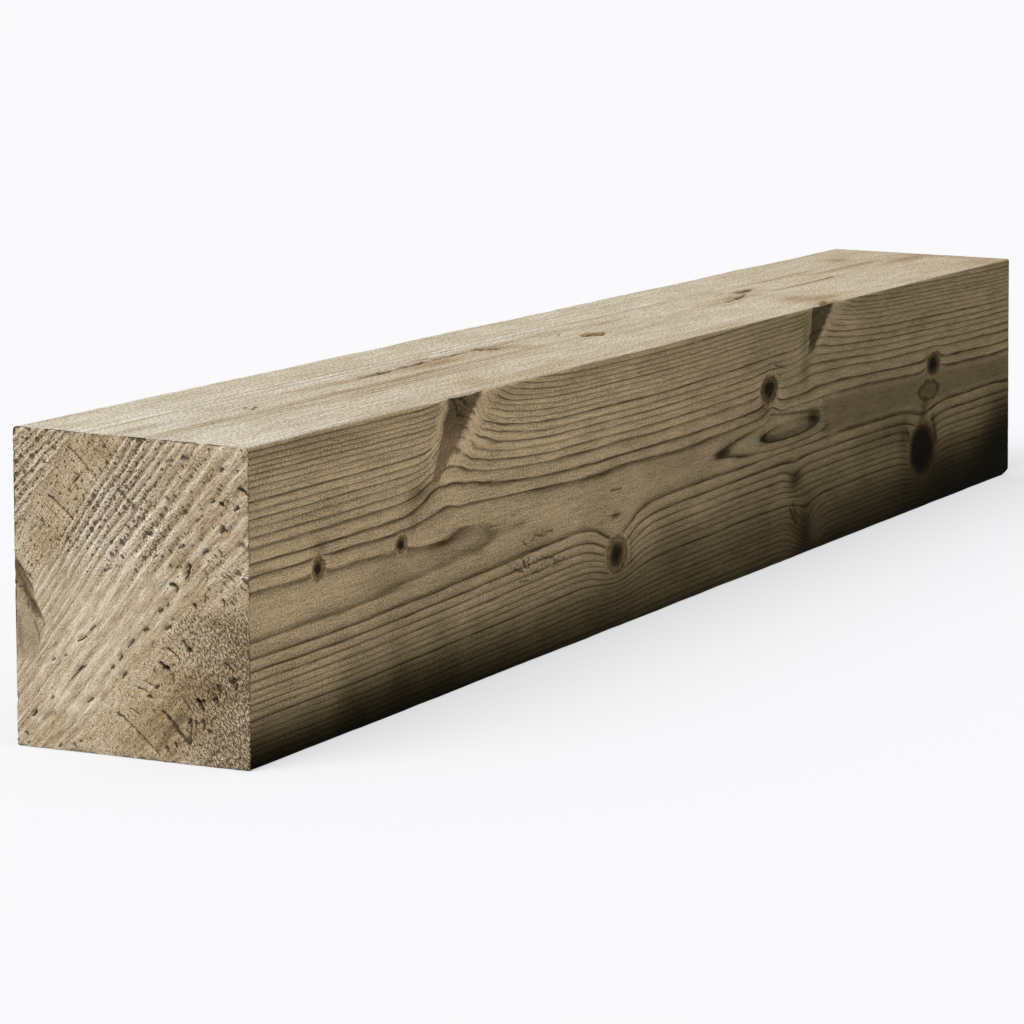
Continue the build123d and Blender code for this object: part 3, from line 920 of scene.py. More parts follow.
share_t = np.r_[np.zeros(near_y.size), np.repeat(along_rows[1:], ring_size), np.ones(far_y.size)]
share_y = np.r_[near_y.ravel(), np.tile(ring_y, rings), far_y.ravel()]
share_z = np.r_[near_z.ravel(), np.tile(ring_z, rings), far_z.ravel()]
print("points", len(share_t))

# %% [markdown]
# ## Cells
# A cell is a row of corner numbers. Shifted copies of the same index array are its other corners, so
# one line makes all the cells of a face. The corners are listed in the turn that faces outwards.

# %% Cells of the sleeve, the joining row and the two sheets
def cells(a, b, c, d):
    """Four-sided cells from four equal arrays of corner numbers."""
    return np.stack([x.ravel() for x in (a, b, c, d)], axis=1)


turned = np.roll(sleeve_index, -1, axis=1)
sleeve = cells(sleeve_index[:-1], sleeve_index[1:], turned[1:], turned[:-1])
rim = sheet_ring(near_index)
joining = np.stack([rim[::2], sleeve_index[0], turned[0], np.roll(rim[::2], -1), rim[1::2]], axis=1)
g = near_index
near_cells = cells(g[:-1, :-1], g[:-1, 1:], g[1:, 1:], g[1:, :-1])
g = far_index
far_cells = cells(g[:-1, :-1], g[1:, :-1], g[1:, 1:], g[:-1, 1:])

FRONT, TOP, BACK, BASE, NEAR, FAR = range(6)
walk_face = np.repeat((FRONT, TOP, BACK, BASE), (n, m, n, m))
end_face = np.repeat((NEAR, FAR), (len(near_cells), len(far_cells)))
cell_face = np.r_[np.tile(walk_face, rings), end_face]
corner_point = np.r_[sleeve.ravel(), joining.ravel(), near_cells.ravel(), far_cells.ravel()]
cell_size = np.repeat((4, 5, 4), (len(sleeve), len(joining), len(end_face)))
corner_face = np.repeat(cell_face, cell_size)
print("cells", len(cell_size), "triangles", int((cell_size - 2).sum()))

# %% [markdown]
# ## From shares to places
# First the sharp box: the near end leans and the top falls. Then the edges are eased. A point less
# than a radius from two faces moves on to the quarter circle that touches both. A Bevel modifier
# could round them too, but not by a radius that changes along the edge.

# %% Sharp box and eased edges
# how uneven the edges are, and how much rounder a torn arris is
EDGE_UNEVENNESS, TEAR_RADIUS = 0.22, 4.5
TINY = 1e-9


def ease_edge(a, b, radius):
    """New distances from two faces: a point in the corner square moves on to its quarter circle."""
    inside = (a < radius) & (b < radius)
    p, q = radius - a, radius - b
    reach = np.maximum(np.hypot(p, q), TINY)
    eased_a = np.where(inside, radius - radius * p / reach, a)
    eased_b = np.where(inside, radius - radius * q / reach, b)
    return eased_a, eased_b


height = FRONT_HEIGHT + (BACK_HEIGHT - FRONT_HEIGHT) * share_y
along = share_t * LENGTH
front_gap, base_gap = share_y * WIDTH, share_z * height
back_gap, top_gap = WIDTH - front_gap, height - base_gap
uneven = 1 + EDGE_UNEVENNESS * rough_hills(along / 30, share_y * 3 + share_z * 5, 91)
scooped = sum(TEAR_RADIUS * np.exp(-(((along - u) / reach) ** 2)) for u, reach in TORN_ARRISES)
arrises = (
    ("front", "top", EASED_ARRIS + scooped), ("front", "base", EASED_ARRIS),
    ("back", "base", EASED_ARRIS), ("back", "top", WORN_ARRIS),
)
for first, second, radius in arrises:
    gaps = {"front": front_gap, "back": back_gap, "top": top_gap, "base": base_gap}
    a, b = ease_edge(gaps[first], gaps[second], radius * uneven)
    if first == "front":
        back_gap = back_gap + front_gap - a
        front_gap = a
    else:
        front_gap = front_gap + back_gap - a
        back_gap = a
    if second == "top":
        base_gap = base_gap + top_gap - b
        top_gap = b
    else:
        top_gap = top_gap + base_gap - b
        base_gap = b
print("edges eased by", EASED_ARRIS, "to", WORN_ARRIS, "mm")

# %% [markdown]
# ## Pushing the faces in
# Each face moves its own points along its own axis, so a table of faces, axes and depth functions
# does all six. The chip is a plane: whatever lies beyond it is pulled back on to it.

# %% Relief and a chipped corner
CHIP_ALONG, CHIP_ACROSS, CHIP_UP = 7.5, 6.0, 5.0

across, up = WIDTH * (1 - share_y), share_z * height
pushes = (
    (share_y == 0, "y", 1, front_depth, along, up),
    (share_y == 1, "y", -1, back_depth, along, up),
    (share_z == 1, "z", -1, top_depth, along, across),
    (share_z == 0, "z", 1, plain_depth(78), along, across),
    (share_t == 0, "x", 1, near_end_depth, across, up),
    (share_t == 1, "x", -1, far_end_depth, across, up),
)
point = {
    "x": low[0] + along + NEAR_END_LEAN * base_gap / FRONT_HEIGHT * (1 - share_t),
    "y": low[1] + front_gap,
    "z": base_gap.copy(),
}
for touched, axis, inward, depth, a, b in pushes:
    point[axis][touched] += inward * depth(a[touched], b[touched])
points = np.stack([point["x"], point["y"], point["z"]], axis=1)
chip_out = np.array((1 / CHIP_ALONG, -1 / CHIP_ACROSS, -1 / CHIP_UP))
chip_out /= np.linalg.norm(chip_out)
beyond = (points - (high[0] - CHIP_ALONG, low[1], 0)) @ chip_out
points = (points - np.maximum(beyond, 0)[:, None] * chip_out) * MM
points[:, 2] = np.maximum(points[:, 2], 0)
print("skin spans", (points.max(axis=0) - points.min(axis=0)).round(4).tolist(), "m")

# %% [markdown]
# ## The skin's mesh
# Numbers go into the mesh as whole arrays, points first, then the corners of the cells. This is far
# quicker than adding faces one by one, and the order stays the same on every run.

# %% Mesh
skin_mesh = bpy.data.meshes.new("treated_timber_skin")
skin_mesh.vertices.add(len(points))
skin_mesh.vertices.foreach_set("co", points.ravel())
skin_mesh.loops.add(len(corner_point))
skin_mesh.loops.foreach_set("vertex_index", corner_point)
skin_mesh.polygons.add(len(cell_size))
skin_mesh.polygons.foreach_set("loop_start", np.r_[0, np.cumsum(cell_size)[:-1]])
skin_mesh.polygons.foreach_set("material_index", cell_face)
skin_mesh.polygons.foreach_set("use_smooth", np.ones(len(cell_size), bool))
skin_mesh.update(calc_edges=True)
print("mesh has", len(skin_mesh.vertices), "points and", len(skin_mesh.polygons), "cells")

# %% [markdown]
# ## Shader vectors
# The three vectors are stored at face corners and not at points, so that a point on an arris can
# belong to two faces, each with its own grain.

# %% Shader vectors at the corners
corner_along, corner_across, corner_up = along[corner_point], across[corner_point], up[corner_point]
figures = (front_figure, top_figure, back_figure, base_figure, near_end_figure, far_end_figure)
place, grain, wear = (np.zeros((len(corner_point), 3)) for _ in range(3))
for face, figure in enumerate(figures):
    on = corner_face == face
    a = corner_across[on] if face in (NEAR, FAR) else corner_along[on]
    b = corner_across[on] if face in (TOP, BASE) else corner_up[on]
    flow, ring, strength, stain_and_shade, torn, fuzz, shade = figure(a, b)
    place[on] = np.stack([a, b, flow], axis=1)
    grain[on] = np.stack([ring, strength, stain_and_shade], axis=1)
    wear[on] = np.stack([torn, fuzz, shade], axis=1)
for name, values in (("place", place), ("grain", grain), ("wear", wear)):
    layer = skin_mesh.attributes.new(name, "FLOAT_VECTOR", "CORNER")
    layer.data.foreach_set("vector", values.ravel())
print("ring numbers run from", grain[:, 0].min().round(1), "to", grain[:, 0].max().round(1))

# %% [markdown]
# ## Flat layout
# A flat layout of the six faces goes in as a map: the long faces as strips above each other, and the
# two ends, enlarged for their fine marks, beside each other above them. Nothing overlaps.

# %% Flat layout
STRIP_GAP, END_ENLARGED, LAYOUT_SIDE = 6.0, 2.5, 1310.0
# front, top, back and base
STRIP_HEIGHTS = (200, 176, 205, 176)
strip_low = np.cumsum([0.0] + [strip + STRIP_GAP for strip in STRIP_HEIGHTS])
end_low = strip_low[len(STRIP_HEIGHTS)]
flat = place[:, :2].copy()
for face in (FRONT, TOP, BACK, BASE):
    flat[corner_face == face, 1] += strip_low[face]
for face in (NEAR, FAR):
    on = corner_face == face
    end_left = (face - NEAR) * (WIDTH * END_ENLARGED + STRIP_GAP)
    flat[on] = flat[on] * END_ENLARGED + (end_left, end_low)
layout = skin_mesh.uv_layers.new(name="OFBake")
layout.uv.foreach_set("vector", ((flat + STRIP_GAP / 2) / LAYOUT_SIDE).ravel().astype(np.float32))
print("layout reaches", (flat.max(axis=0) / LAYOUT_SIDE).round(3).tolist())

# %% [markdown]
# ## The piece
# The skin stands in for the solid and rides on the only body.

# %% Piece
skin = bpy.data.objects.new("treated_timber_skin", skin_mesh)
bpy.context.scene.collection.objects.link(skin)
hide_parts(NODE)
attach(skin, "root")
print("piece", skin.name, "stands for", NODE)

# %% [markdown]
# ## Writing a finish
# A finish is a chain of nodes. A small helper adds a node, feeds it with numbers or with other
# nodes' outputs, and hands back its output, so that a finish reads like a recipe. The same finish
# could be wired by hand in the shader editor, but not repeated for six faces.

# %% Recipe helper
WOOD_GLOSS = 0.03


class Finish:
    """One material written down step by step: each call adds a node and returns its output."""

    def __init__(self, name):
        self.material = bpy.data.materials.new(name)
        self.material.use_nodes = True
        self.tree = self.material.node_tree
        self.tree.nodes.clear()

    def feed(self, socket, value):
        """Links an output to a socket, or sets the socket to a plain value."""
        if isinstance(value, bpy.types.NodeSocket):
            self.tree.links.new(value, socket)
        elif value is not None:
            socket.default_value = value

    def node(self, kind, *feeds, out=0, **settings):
        """Adds a node, feeds its sockets in order and returns one of its outputs."""
        made = self.tree.nodes.new("ShaderNode" + kind)
        for key, value in settings.items():
            setattr(made, key, value)
        for socket, value in zip(made.inputs, feeds):
            self.feed(socket, value)
        return made.outputs[out] if made.outputs else None

    def vector_layer(self, name):
        """One of the vectors that the mesh carries."""
        return self.node("Attribute", attribute_name=name, out=1)

    def split(self, vector):
        """The three parts of a vector."""
        node = self.node("SeparateXYZ", vector).node
        return node.outputs[0], node.outputs[1], node.outputs[2]

    def join(self, x, y, z=0.0):
        """A vector from three parts."""
        return self.node("CombineXYZ", x, y, z)

    def math(self, operation, a, b=None, c=None):
        """One sum, product or other operation on up to three values."""
        return self.node("Math", a, b, c, operation=operation)

    def times(self, a, b):
        """The product of two values."""
        return self.math("MULTIPLY", a, b)

    def plus(self, a, b):
        """The sum of two values."""
        return self.math("ADD", a, b)

    def blend(self, amount, a, b, how="MIX"):
        """Colour a where the amount is 0 and colour b, or their product, where it is 1."""
        made = self.tree.nodes.new("ShaderNodeMix")
        made.data_type, made.blend_type = "RGBA", how
        for index, value in ((0, amount), (6, a), (7, b)):
            self.feed(made.inputs[index], value)
        return made.outputs[2]

    def noise(self, x, y, detail=3.0, rough=0.6):
        """Clouds from 0 to 1, one cloud for each step of 1 in x and y."""
        spot = self.join(x, y)
        return self.node("TexNoise", spot, None, 1.0, detail, rough, noise_dimensions="2D")

    def cells(self, x, y, scatter):
        """Distance from the nearest cell's middle, and each cell's chance, one cell a step of 1."""
        node = self.node("TexVoronoi", self.join(x, y), None, 1.0, voronoi_dimensions="2D").node
        node.inputs["Randomness"].default_value = scatter
        return node.outputs["Distance"], self.split(node.outputs["Color"])[0]

    def between(self, value, start, end):
        """0 at start, 1 at end, and a soft S between them."""
        return self.node("MapRange", value, start, end, 0.0, 1.0, interpolation_type="SMOOTHSTEP")

    def stops(self, factor, pairs):
        """A value or colour that follows the factor through (position, grey or colour) stops."""
        out = self.node("ValToRGB", factor)
        ramp = out.node.color_ramp
        ramp.elements[0].position, ramp.elements[1].position = pairs[0][0], pairs[-1][0]
        for position, _ in pairs[1:-1]:
            ramp.elements.new(position)
        for element, (_, colour) in zip(ramp.elements, pairs):
            parts = colour if isinstance(colour, tuple) else (colour, colour, colour)
            element.color = (*parts, 1.0)
        return out

    def around(self, cloud, weight):
        """How far a cloud lies above or below its middle, times a weight."""
        return self.times(self.math("SUBTRACT", cloud, 0.5), weight)

    def total(self, first, *others):
        """The sum of any number of values."""
        for other in others:
            first = self.plus(first, other)
        return first

    def warm(self, light, green, blue):
        """A light level as a colour that turns browner as it falls: each part has its own power."""
        green, blue = self.math("POWER", light, green), self.math("POWER", light, blue)
        return self.node("CombineColor", light, green, blue)

    def done(self, colour, roughness, height, depth_mm):
        """Puts colour, roughness and fine relief into a matt shader and returns the material."""
        bump = self.node("Bump", 1.0, depth_mm * MM)
        self.feed(bump.node.inputs["Height"], height)
        shader = self.node("BsdfPrincipled").node
        self.feed(shader.inputs["Base Color"], colour)
        self.feed(shader.inputs["Roughness"], roughness)
        self.feed(shader.inputs["Normal"], bump)
        shader.inputs["Specular IOR Level"].default_value = WOOD_GLOSS
        self.node("OutputMaterial", shader.outputs[0])
        print("finish", self.material.name, "has", len(self.tree.nodes), "nodes")
        return self.material


def wood(red, green, blue):
    """A colour given as it looks on screen, 0 to 255, as the linear numbers a shader needs."""
    return tuple(((c / 255 + 0.055) / 1.055) ** 2.4 for c in (red, green, blue))


print("a mid brown in linear numbers:", np.round(wood(150, 128, 93), 3).tolist())

# %% [markdown]
# ## Knots and strokes in the finish
# Inside a knot the colour follows the distance from its middle, counted in half sizes: a dark heart,
# brown wood, a dark bark line and a pale halo. The nearest knot decides, so one chain serves them
# all. Strokes and wedges are worked out the same way, from their distance.

# %% Knot distance, strokes and wedges
# a stroke is fully dark within this share of its width
STROKE_CORE = 0.2


def knot_distance(f, spot, knots):
    """Distance to the nearest knot in half sizes: 1 on its edge. Each knot is u, v, a, b and more."""
    nearest = None
    for u, v, a, b, *_ in knots:
        offset = f.node("VectorMath", spot, (u, v, 0.0), operation="SUBTRACT")
        scaled = f.node("VectorMath", offset, (1 / a, 1 / b, 0.0), operation="MULTIPLY")
        distance = f.node("VectorMath", scaled, operation="LENGTH", out=1)
        nearest = distance if nearest is None else f.math("MINIMUM", nearest, distance)
    return nearest


def stroke_mark(f, spot, strokes):
    """The darkness of the darkest stroke at each place, 0 off them all.

    No clamp is ticked: the renderer works clamps out last, and would hold too many values till then.
    """
    darkest = None
    for start, end, width, darkness, _ in strokes:
        run = np.subtract(end, start)
        offset = f.node("VectorMath", spot, (*start, 0.0), operation="SUBTRACT")
        measure = (*(run / (run @ run)), 0.0)
        dot = f.node("VectorMath", offset, measure, operation="DOT_PRODUCT", out=1)
        share = f.math("MAXIMUM", f.math("MINIMUM", dot, 1.0), 0.0)
        foot = f.node("VectorMath", (*run, 0.0), None, None, share, operation="SCALE")
        away = f.node("VectorMath", offset, foot, operation="DISTANCE", out=1)
        mark = f.node("MapRange", away, width, width * STROKE_CORE, 0.0, darkness,
                      interpolation_type="SMOOTHSTEP", clamp=False)
        darkest = mark if darkest is None else f.math("MAXIMUM", darkest, mark)
    return darkest


def wedge_mark(f, along, up, left, right, tip):
    """1 between two straight sides that meet at a tip, 0 outside."""
    inside = None
    for target, turn in ((left, 1.0), (right, -1.0)):
        run = np.subtract(target, tip) * turn / math.hypot(*np.subtract(target, tip))
        off = f.plus(f.times(along, run[1]), f.times(up, -run[0]))
        side = f.between(f.math("SUBTRACT", off, tip[0] * run[1] - tip[1] * run[0]), -0.5, 3.0)
        inside = side if inside is None else f.times(inside, side)
    return inside


def shaken(f, spot, size, reach):
    """A face place moved about by small clouds, so that drawn edges come out ragged."""
    cloud = f.node("TexNoise", spot, None, 1 / size, 2.0, 0.6, out=1)
    push = f.node("VectorMath", cloud, (0.5, 0.5, 0.5), operation="SUBTRACT")
    moved = f.node("VectorMath", push, (reach, reach, 0.0), spot, operation="MULTIPLY_ADD")
    return f.node("VectorMath", moved, (1.0, 1.0, 0.0), operation="MULTIPLY")


print("strokes to draw on the near end:", len(END_STROKES), "and on the top:", len(TOP_STROKES))

# %% [markdown]
# ## Colours of the knots
# A sound knot is brown with a dark heart, a dead one nearly black with a gap of bark round it, and a
# pin knot is a small dark eye. Each kind is a row of colours, from its middle outwards.

# %% Knot colours
PIT = wood(58, 47, 32)
# how dark a loop's line and its inside are
LOOP_LINE, LOOP_FILL = 0.62, 0.22
# colours by the distance from a knot's middle, in half sizes, out to the pale wood round it
KNOT_REACH = 1.6
SOUND_KNOT = (
    (0.0, wood(42, 36, 24)), (0.3, wood(56, 48, 33)), (0.55, wood(90, 76, 53)),
    (0.8, wood(146, 124, 91)), (0.97, wood(172, 147, 109)), (1.08, wood(130, 109, 76)),
    (1.2, wood(198, 173, 132)), (1.6, wood(207, 187, 148)),
)
DEAD_KNOT = (
    (0.0, wood(40, 34, 23)), (0.8, wood(46, 39, 27)), (0.98, wood(96, 80, 56)),
    (1.12, wood(150, 128, 93)), (1.25, wood(190, 166, 126)), (1.6, wood(207, 187, 148)),
)
BROWN_KNOT = (
    (0.0, wood(40, 34, 23)), (0.5, wood(48, 41, 28)), (0.68, wood(94, 80, 57)),
    (0.9, wood(122, 104, 75)), (1.0, wood(100, 84, 59)), (1.14, wood(166, 144, 108)),
    (1.3, wood(190, 166, 126)), (1.6, wood(200, 178, 140)),
)
PIN_KNOT = (
    (0.0, wood(40, 34, 23)), (0.42, wood(50, 42, 30)), (0.62, wood(104, 87, 60)),
    (0.9, wood(150, 128, 92)), (1.04, wood(118, 99, 68)), (1.2, wood(190, 166, 126)),
    (1.6, wood(207, 187, 148)),
)
TAN_KNOT = (
    (0.0, wood(126, 106, 76)), (0.4, wood(144, 123, 90)), (0.75, wood(172, 150, 116)),
    (1.0, wood(138, 116, 82)), (1.15, wood(196, 176, 142)), (1.6, wood(214, 199, 170)),
)


# dark ripples across a knot in each half size, and how strong they are
KNOT_RIPPLES, RIPPLE_STRENGTH = 30.0, 0.08


def knot_colours(f, colour, ragged, fleck, knots):
    """The colour of the nearest knot by its distance, rippled, laid over the face round each knot."""
    for group, stops in knots:
        distance = knot_distance(f, ragged, group)
        shares = tuple((place / KNOT_REACH, tone) for place, tone in stops)
        grown = f.stops(f.times(distance, 1 / KNOT_REACH), shares)
        wave = f.math("SINE", f.times(distance, KNOT_RIPPLES))
        ripple = f.math("MULTIPLY_ADD", wave, RIPPLE_STRENGTH, 1.0)
        grown = f.blend(1.0, grown, f.times(ripple, f.plus(f.around(fleck, 1.2), 1.0)), "MULTIPLY")
        colour = f.blend(f.between(distance, 1.5, 1.15), colour, grown)
    return colour


def loop_colours(f, colour, ragged, loops):
    """A dark line round each loop, where its distance is 1, and a faint fill inside."""
    for loop in loops:
        distance = knot_distance(f, ragged, (loop,))
        line = f.between(f.math("ABSOLUTE", f.math("SUBTRACT", distance, 1.0)), 0.36, 0.05)
        fill = f.times(f.between(distance, 1.1, 0.7), LOOP_FILL)
        colour = f.blend(f.math("MAXIMUM", f.times(line, LOOP_LINE), fill), colour, (*PIT, 1.0))
    return colour


def spike_colours(f, colour, ragged, across, pits, spikes):
    """A wedge of brown wood over each spike, from its foot's colour to its mouth's."""
    for left, right, tip, start, foot, mouth in spikes:
        ragged_along, ragged_up, _ = f.split(ragged)
        cover = wedge_mark(f, ragged_along, ragged_up, left, right, tip)
        cover = f.times(cover, f.between(across, start, start + SPIKE_RUN_IN))
        bark = f.blend(f.between(across, start + 15.0, 192.0), (*foot, 1.0), (*mouth, 1.0))
        bark = f.blend(f.times(pits, 0.9), bark, (*PIT, 1.0))
        colour = f.blend(f.times(cover, 0.9), colour, bark)
    return colour


print("knot colours run out to", KNOT_REACH, "half sizes")

# %% [markdown]
# ## Sawn long faces
# Early wood is pale and late wood dark, and each ring darkens slowly and ends sharply. Over the rings
# lie fibres, fuzz that the saw raised, slow patches of preservative, stain, painted foot shade and
# torn pits.

# %% Finish of a sawn face
# how dark one ring gets, from its pale early wood to its dark late wood
RING_PROFILE = (
    (0.0, 0.4), (0.05, 0.0), (0.42, 0.03), (0.68, 0.2), (0.84, 0.75), (0.93, 1.0), (1.0, 0.4),
)
SAWN_ROUGHNESS, SAWN_BUMP = 0.9, 0.8
# weights of fibre, streak, fuzz, cloud and fleck in the tone, and powers that turn shade brown
SAWN_WEIGHTS, SAWN_WARMTH = (1.0, 0.5, 0.9, 0.6, 0.2), (1.0, 1.1)
SAWN_FUZZ = (0.35, 1.1)


def sawn_face(name, early, late, knots, strokes=(), spikes=(), loops=(), fuzz_size=SAWN_FUZZ,
              weights=SAWN_WEIGHTS, warmth=SAWN_WARMTH):
    """Ring lines by ring number, under pits, knots and strokes, times tone, shade, stain and painted
    foot shade.
    """
    f = Finish(name)
    spot = f.vector_layer("place")
    along, across, flow = f.split(spot)
    ring, strength, stain_and_shade = f.split(f.vector_layer("grain"))
    torn, fuzzy, shade = f.split(f.vector_layer("wear"))

    # clouds for each millimetre along and across, then their detail and roughness
    streak = f.noise(f.times(along, 0.011), f.times(flow, 0.3), 3.0, 0.62)
    fibre = f.noise(f.times(along, 0.05), f.times(flow, 1.0), 4.0, 0.7)
    fuzz = f.noise(f.times(along, fuzz_size[0]), f.times(across, fuzz_size[1]), 3.0, 0.75)
    cloud = f.noise(f.times(along, 0.018), f.times(across, 0.045), 4.0, 0.6)
    fleck = f.noise(f.times(along, 0.24), f.times(across, 0.45), 3.0, 0.75)

    number = f.plus(ring, f.around(streak, 0.25))
    darkening = f.stops(f.math("FRACT", number), RING_PROFILE)
    luck = f.noise(f.times(along, 0.02), f.times(ring, 2.7), 3.0, 0.6)
    lines = f.times(f.times(darkening, strength), f.math("MULTIPLY_ADD", luck, 1.2, 0.4))
    colour = f.blend(lines, (*early, 1.0), (*late, 1.0))
    pits = f.times(f.between(fleck, 0.54, 0.62), torn)
    colour = f.blend(f.times(pits, 0.8), colour, (*PIT, 1.0))
    clouds = zip((fibre, streak, fuzz, cloud, fleck), weights)
    tone = f.total(1.0, *(f.around(noise, weight) for noise, weight in clouds))

    ragged = shaken(f, spot, 9.0, 6.0)
    colour = knot_colours(f, colour, ragged, fleck, knots)
    colour = loop_colours(f, colour, ragged, loops)
    colour = spike_colours(f, colour, ragged, across, pits, spikes)
    if strokes:
        colour = f.blend(stroke_mark(f, shaken(f, spot, 5.0, 3.0), strokes), colour, (*PIT, 1.0))
    # stain on the base and painted shade at the foot of the front and back darken the colour here
    clear_of_stain_and_shade = f.math("SUBTRACT", 1.0, stain_and_shade)
    lit = f.times(f.times(tone, shade), clear_of_stain_and_shade)
    colour = f.blend(1.0, colour, f.warm(lit, *warmth), "MULTIPLY")
    height = f.plus(f.times(fibre, 0.5), f.times(fuzz, f.plus(f.times(fuzzy, 0.7), 0.3)))
    return f.done(colour, SAWN_ROUGHNESS, height, SAWN_BUMP)

# %% [markdown]
# ## The four long faces
# One recipe serves all four. The front has the most marks on it, the top is the fuzziest, and the
# back and the base are plain.

# %% Finishes of the long faces
# torn flecks, bark lines and the outline of an oval island: from and to, width and darkness
FRONT_STROKES = (
    ((340, 69), (349, 66), 1.6, 0.7, 0), ((353, 72), (357, 67), 1.8, 0.8, 0),
    ((348, 59), (360, 58), 1.6, 0.55, 0), ((371, 88), (381, 86), 1.8, 0.6, 0),
    ((385, 88), (396, 87), 1.6, 0.5, 0), ((353, 86), (357, 83), 1.6, 0.7, 0),
    ((379, 71), (388, 69), 1.6, 0.55, 0), ((398, 66), (406, 64), 1.6, 0.5, 0),
    ((367, 62), (376, 61), 1.6, 0.5, 0), ((487, 102.5), (504, 101.5), 1.4, 0.7, 0),
    ((335, 107), (341, 107), 1.2, 0.5, 0), ((420, 106), (426, 106), 1.2, 0.4, 0),
    ((640, 92), (643, 86), 1.2, 0.45, 0), ((1190, 181), (1198, 183), 1.4, 0.5, 0),
    ((776, 160), (790, 158), 1.6, 0.55, 0), ((782, 152), (788, 150), 1.6, 0.5, 0),
    ((1122, 134), (1134, 128), 2.2, 0.6, 0), ((240, 95), (262, 94.5), 1.0, 0.3, 0),
    ((268, 96), (290, 95.5), 1.0, 0.35, 0), ((519, 44), (521, 62), 1.2, 0.5, 0),
    ((812, 44), (820, 30), 3.0, 0.5, 0), ((1052, 74), (1060, 62), 2.5, 0.55, 0),
    ((1112, 76), (1121, 54), 5.0, 0.6, 0), ((1084, 76), (1096, 92), 7.0, 0.25, 0),
    ((806, 41), (812, 32), 2.6, 0.75, 0), ((812, 36), (817, 27), 2.2, 0.65, 0),
    ((256, 198), (262, 190), 2.8, 0.85, 0), ((266, 200), (275, 192), 2.4, 0.8, 0),
    ((262, 186), (270, 184), 2.0, 0.75, 0), ((768, 122), (800, 118.5), 2.0, 0.55, 0),
    ((800, 118.5), (842, 115.5), 2.2, 0.62, 0), ((842, 115.5), (862, 113), 3.0, 0.6, 0),
    ((846, 109), (863, 109), 6.0, 0.42, 0), ((750, 105), (776, 102.5), 4.0, 0.4, 0),
    ((776, 102.5), (846, 104), 4.0, 0.25, 0), ((669, 102), (688, 103), 5.0, 0.45, 0),
    ((682, 106), (694, 109.5), 3.0, 0.35, 0),
)
# colours at each spike's foot and mouth
SPIKE_WOOD = (
    (wood(134, 115, 84), wood(104, 88, 61)), (wood(80, 68, 47), wood(98, 84, 59)),
)
FRONT_KINDS = (
    (FRONT_KNOTS, SOUND_KNOT), (FRONT_BROWN_KNOTS, BROWN_KNOT), (FRONT_PIN_KNOTS, PIN_KNOT),
    (FRONT_DEAD_KNOTS, DEAD_KNOT),
)
# a ring of bark left by a branch that was grown over: place and half sizes
FRONT_LOOPS = ((1103, 101, 21, 7.5),)

front_spikes = [sides + tones for sides, tones in zip(FRONT_SPIKE_SIDES, SPIKE_WOOD)]
front_wood = sawn_face(
    "front_sawn_wood", wood(206, 183, 141), wood(90, 70, 42), FRONT_KINDS, FRONT_STROKES,
    front_spikes, FRONT_LOOPS, fuzz_size=(0.5, 1.2), weights=(1.1, 0.5, 2.4, 0.6, 0.6))
top_wood = sawn_face(
    "top_sawn_wood", wood(217, 203, 177), wood(128, 103, 68), ((TOP_KNOTS, TAN_KNOT),), TOP_STROKES,
    fuzz_size=(0.5, 0.5), weights=(0.7, 0.55, 2.2, 0.3, 0.6), warmth=(1.35, 1.9))
back_wood = sawn_face(
    "back_sawn_wood", wood(203, 184, 146), wood(100, 79, 50), ((BACK_KNOTS, SOUND_KNOT),))
base_wood = sawn_face(
    "base_sawn_wood", wood(190, 170, 132), wood(104, 84, 55), ((BASE_KNOTS, SOUND_KNOT),),
    fuzz_size=(0.45, 0.5))

# %% [markdown]
# ## Cut ends
# On the cut ends the fibres stand up, so the surface drinks light in its pits and is pale on the
# ridges. The grooves between ridges are dark and soft, and a fine grain covers everything.

# %% Finish of a cut end
END_PIT = wood(84, 67, 44)
# how light one saw ridge is, from groove to crest to groove
RIDGE_PROFILE = (
    (0.0, 0.0), (0.12, 0.12), (0.3, 0.75), (0.42, 1.0), (0.6, 0.62), (0.82, 0.5), (0.94, 0.08),
    (1.0, 0.0),
)
END_ROUGHNESS, END_BUMP = 0.95, 0.9
END_WARMTH = (1.2, 1.55)


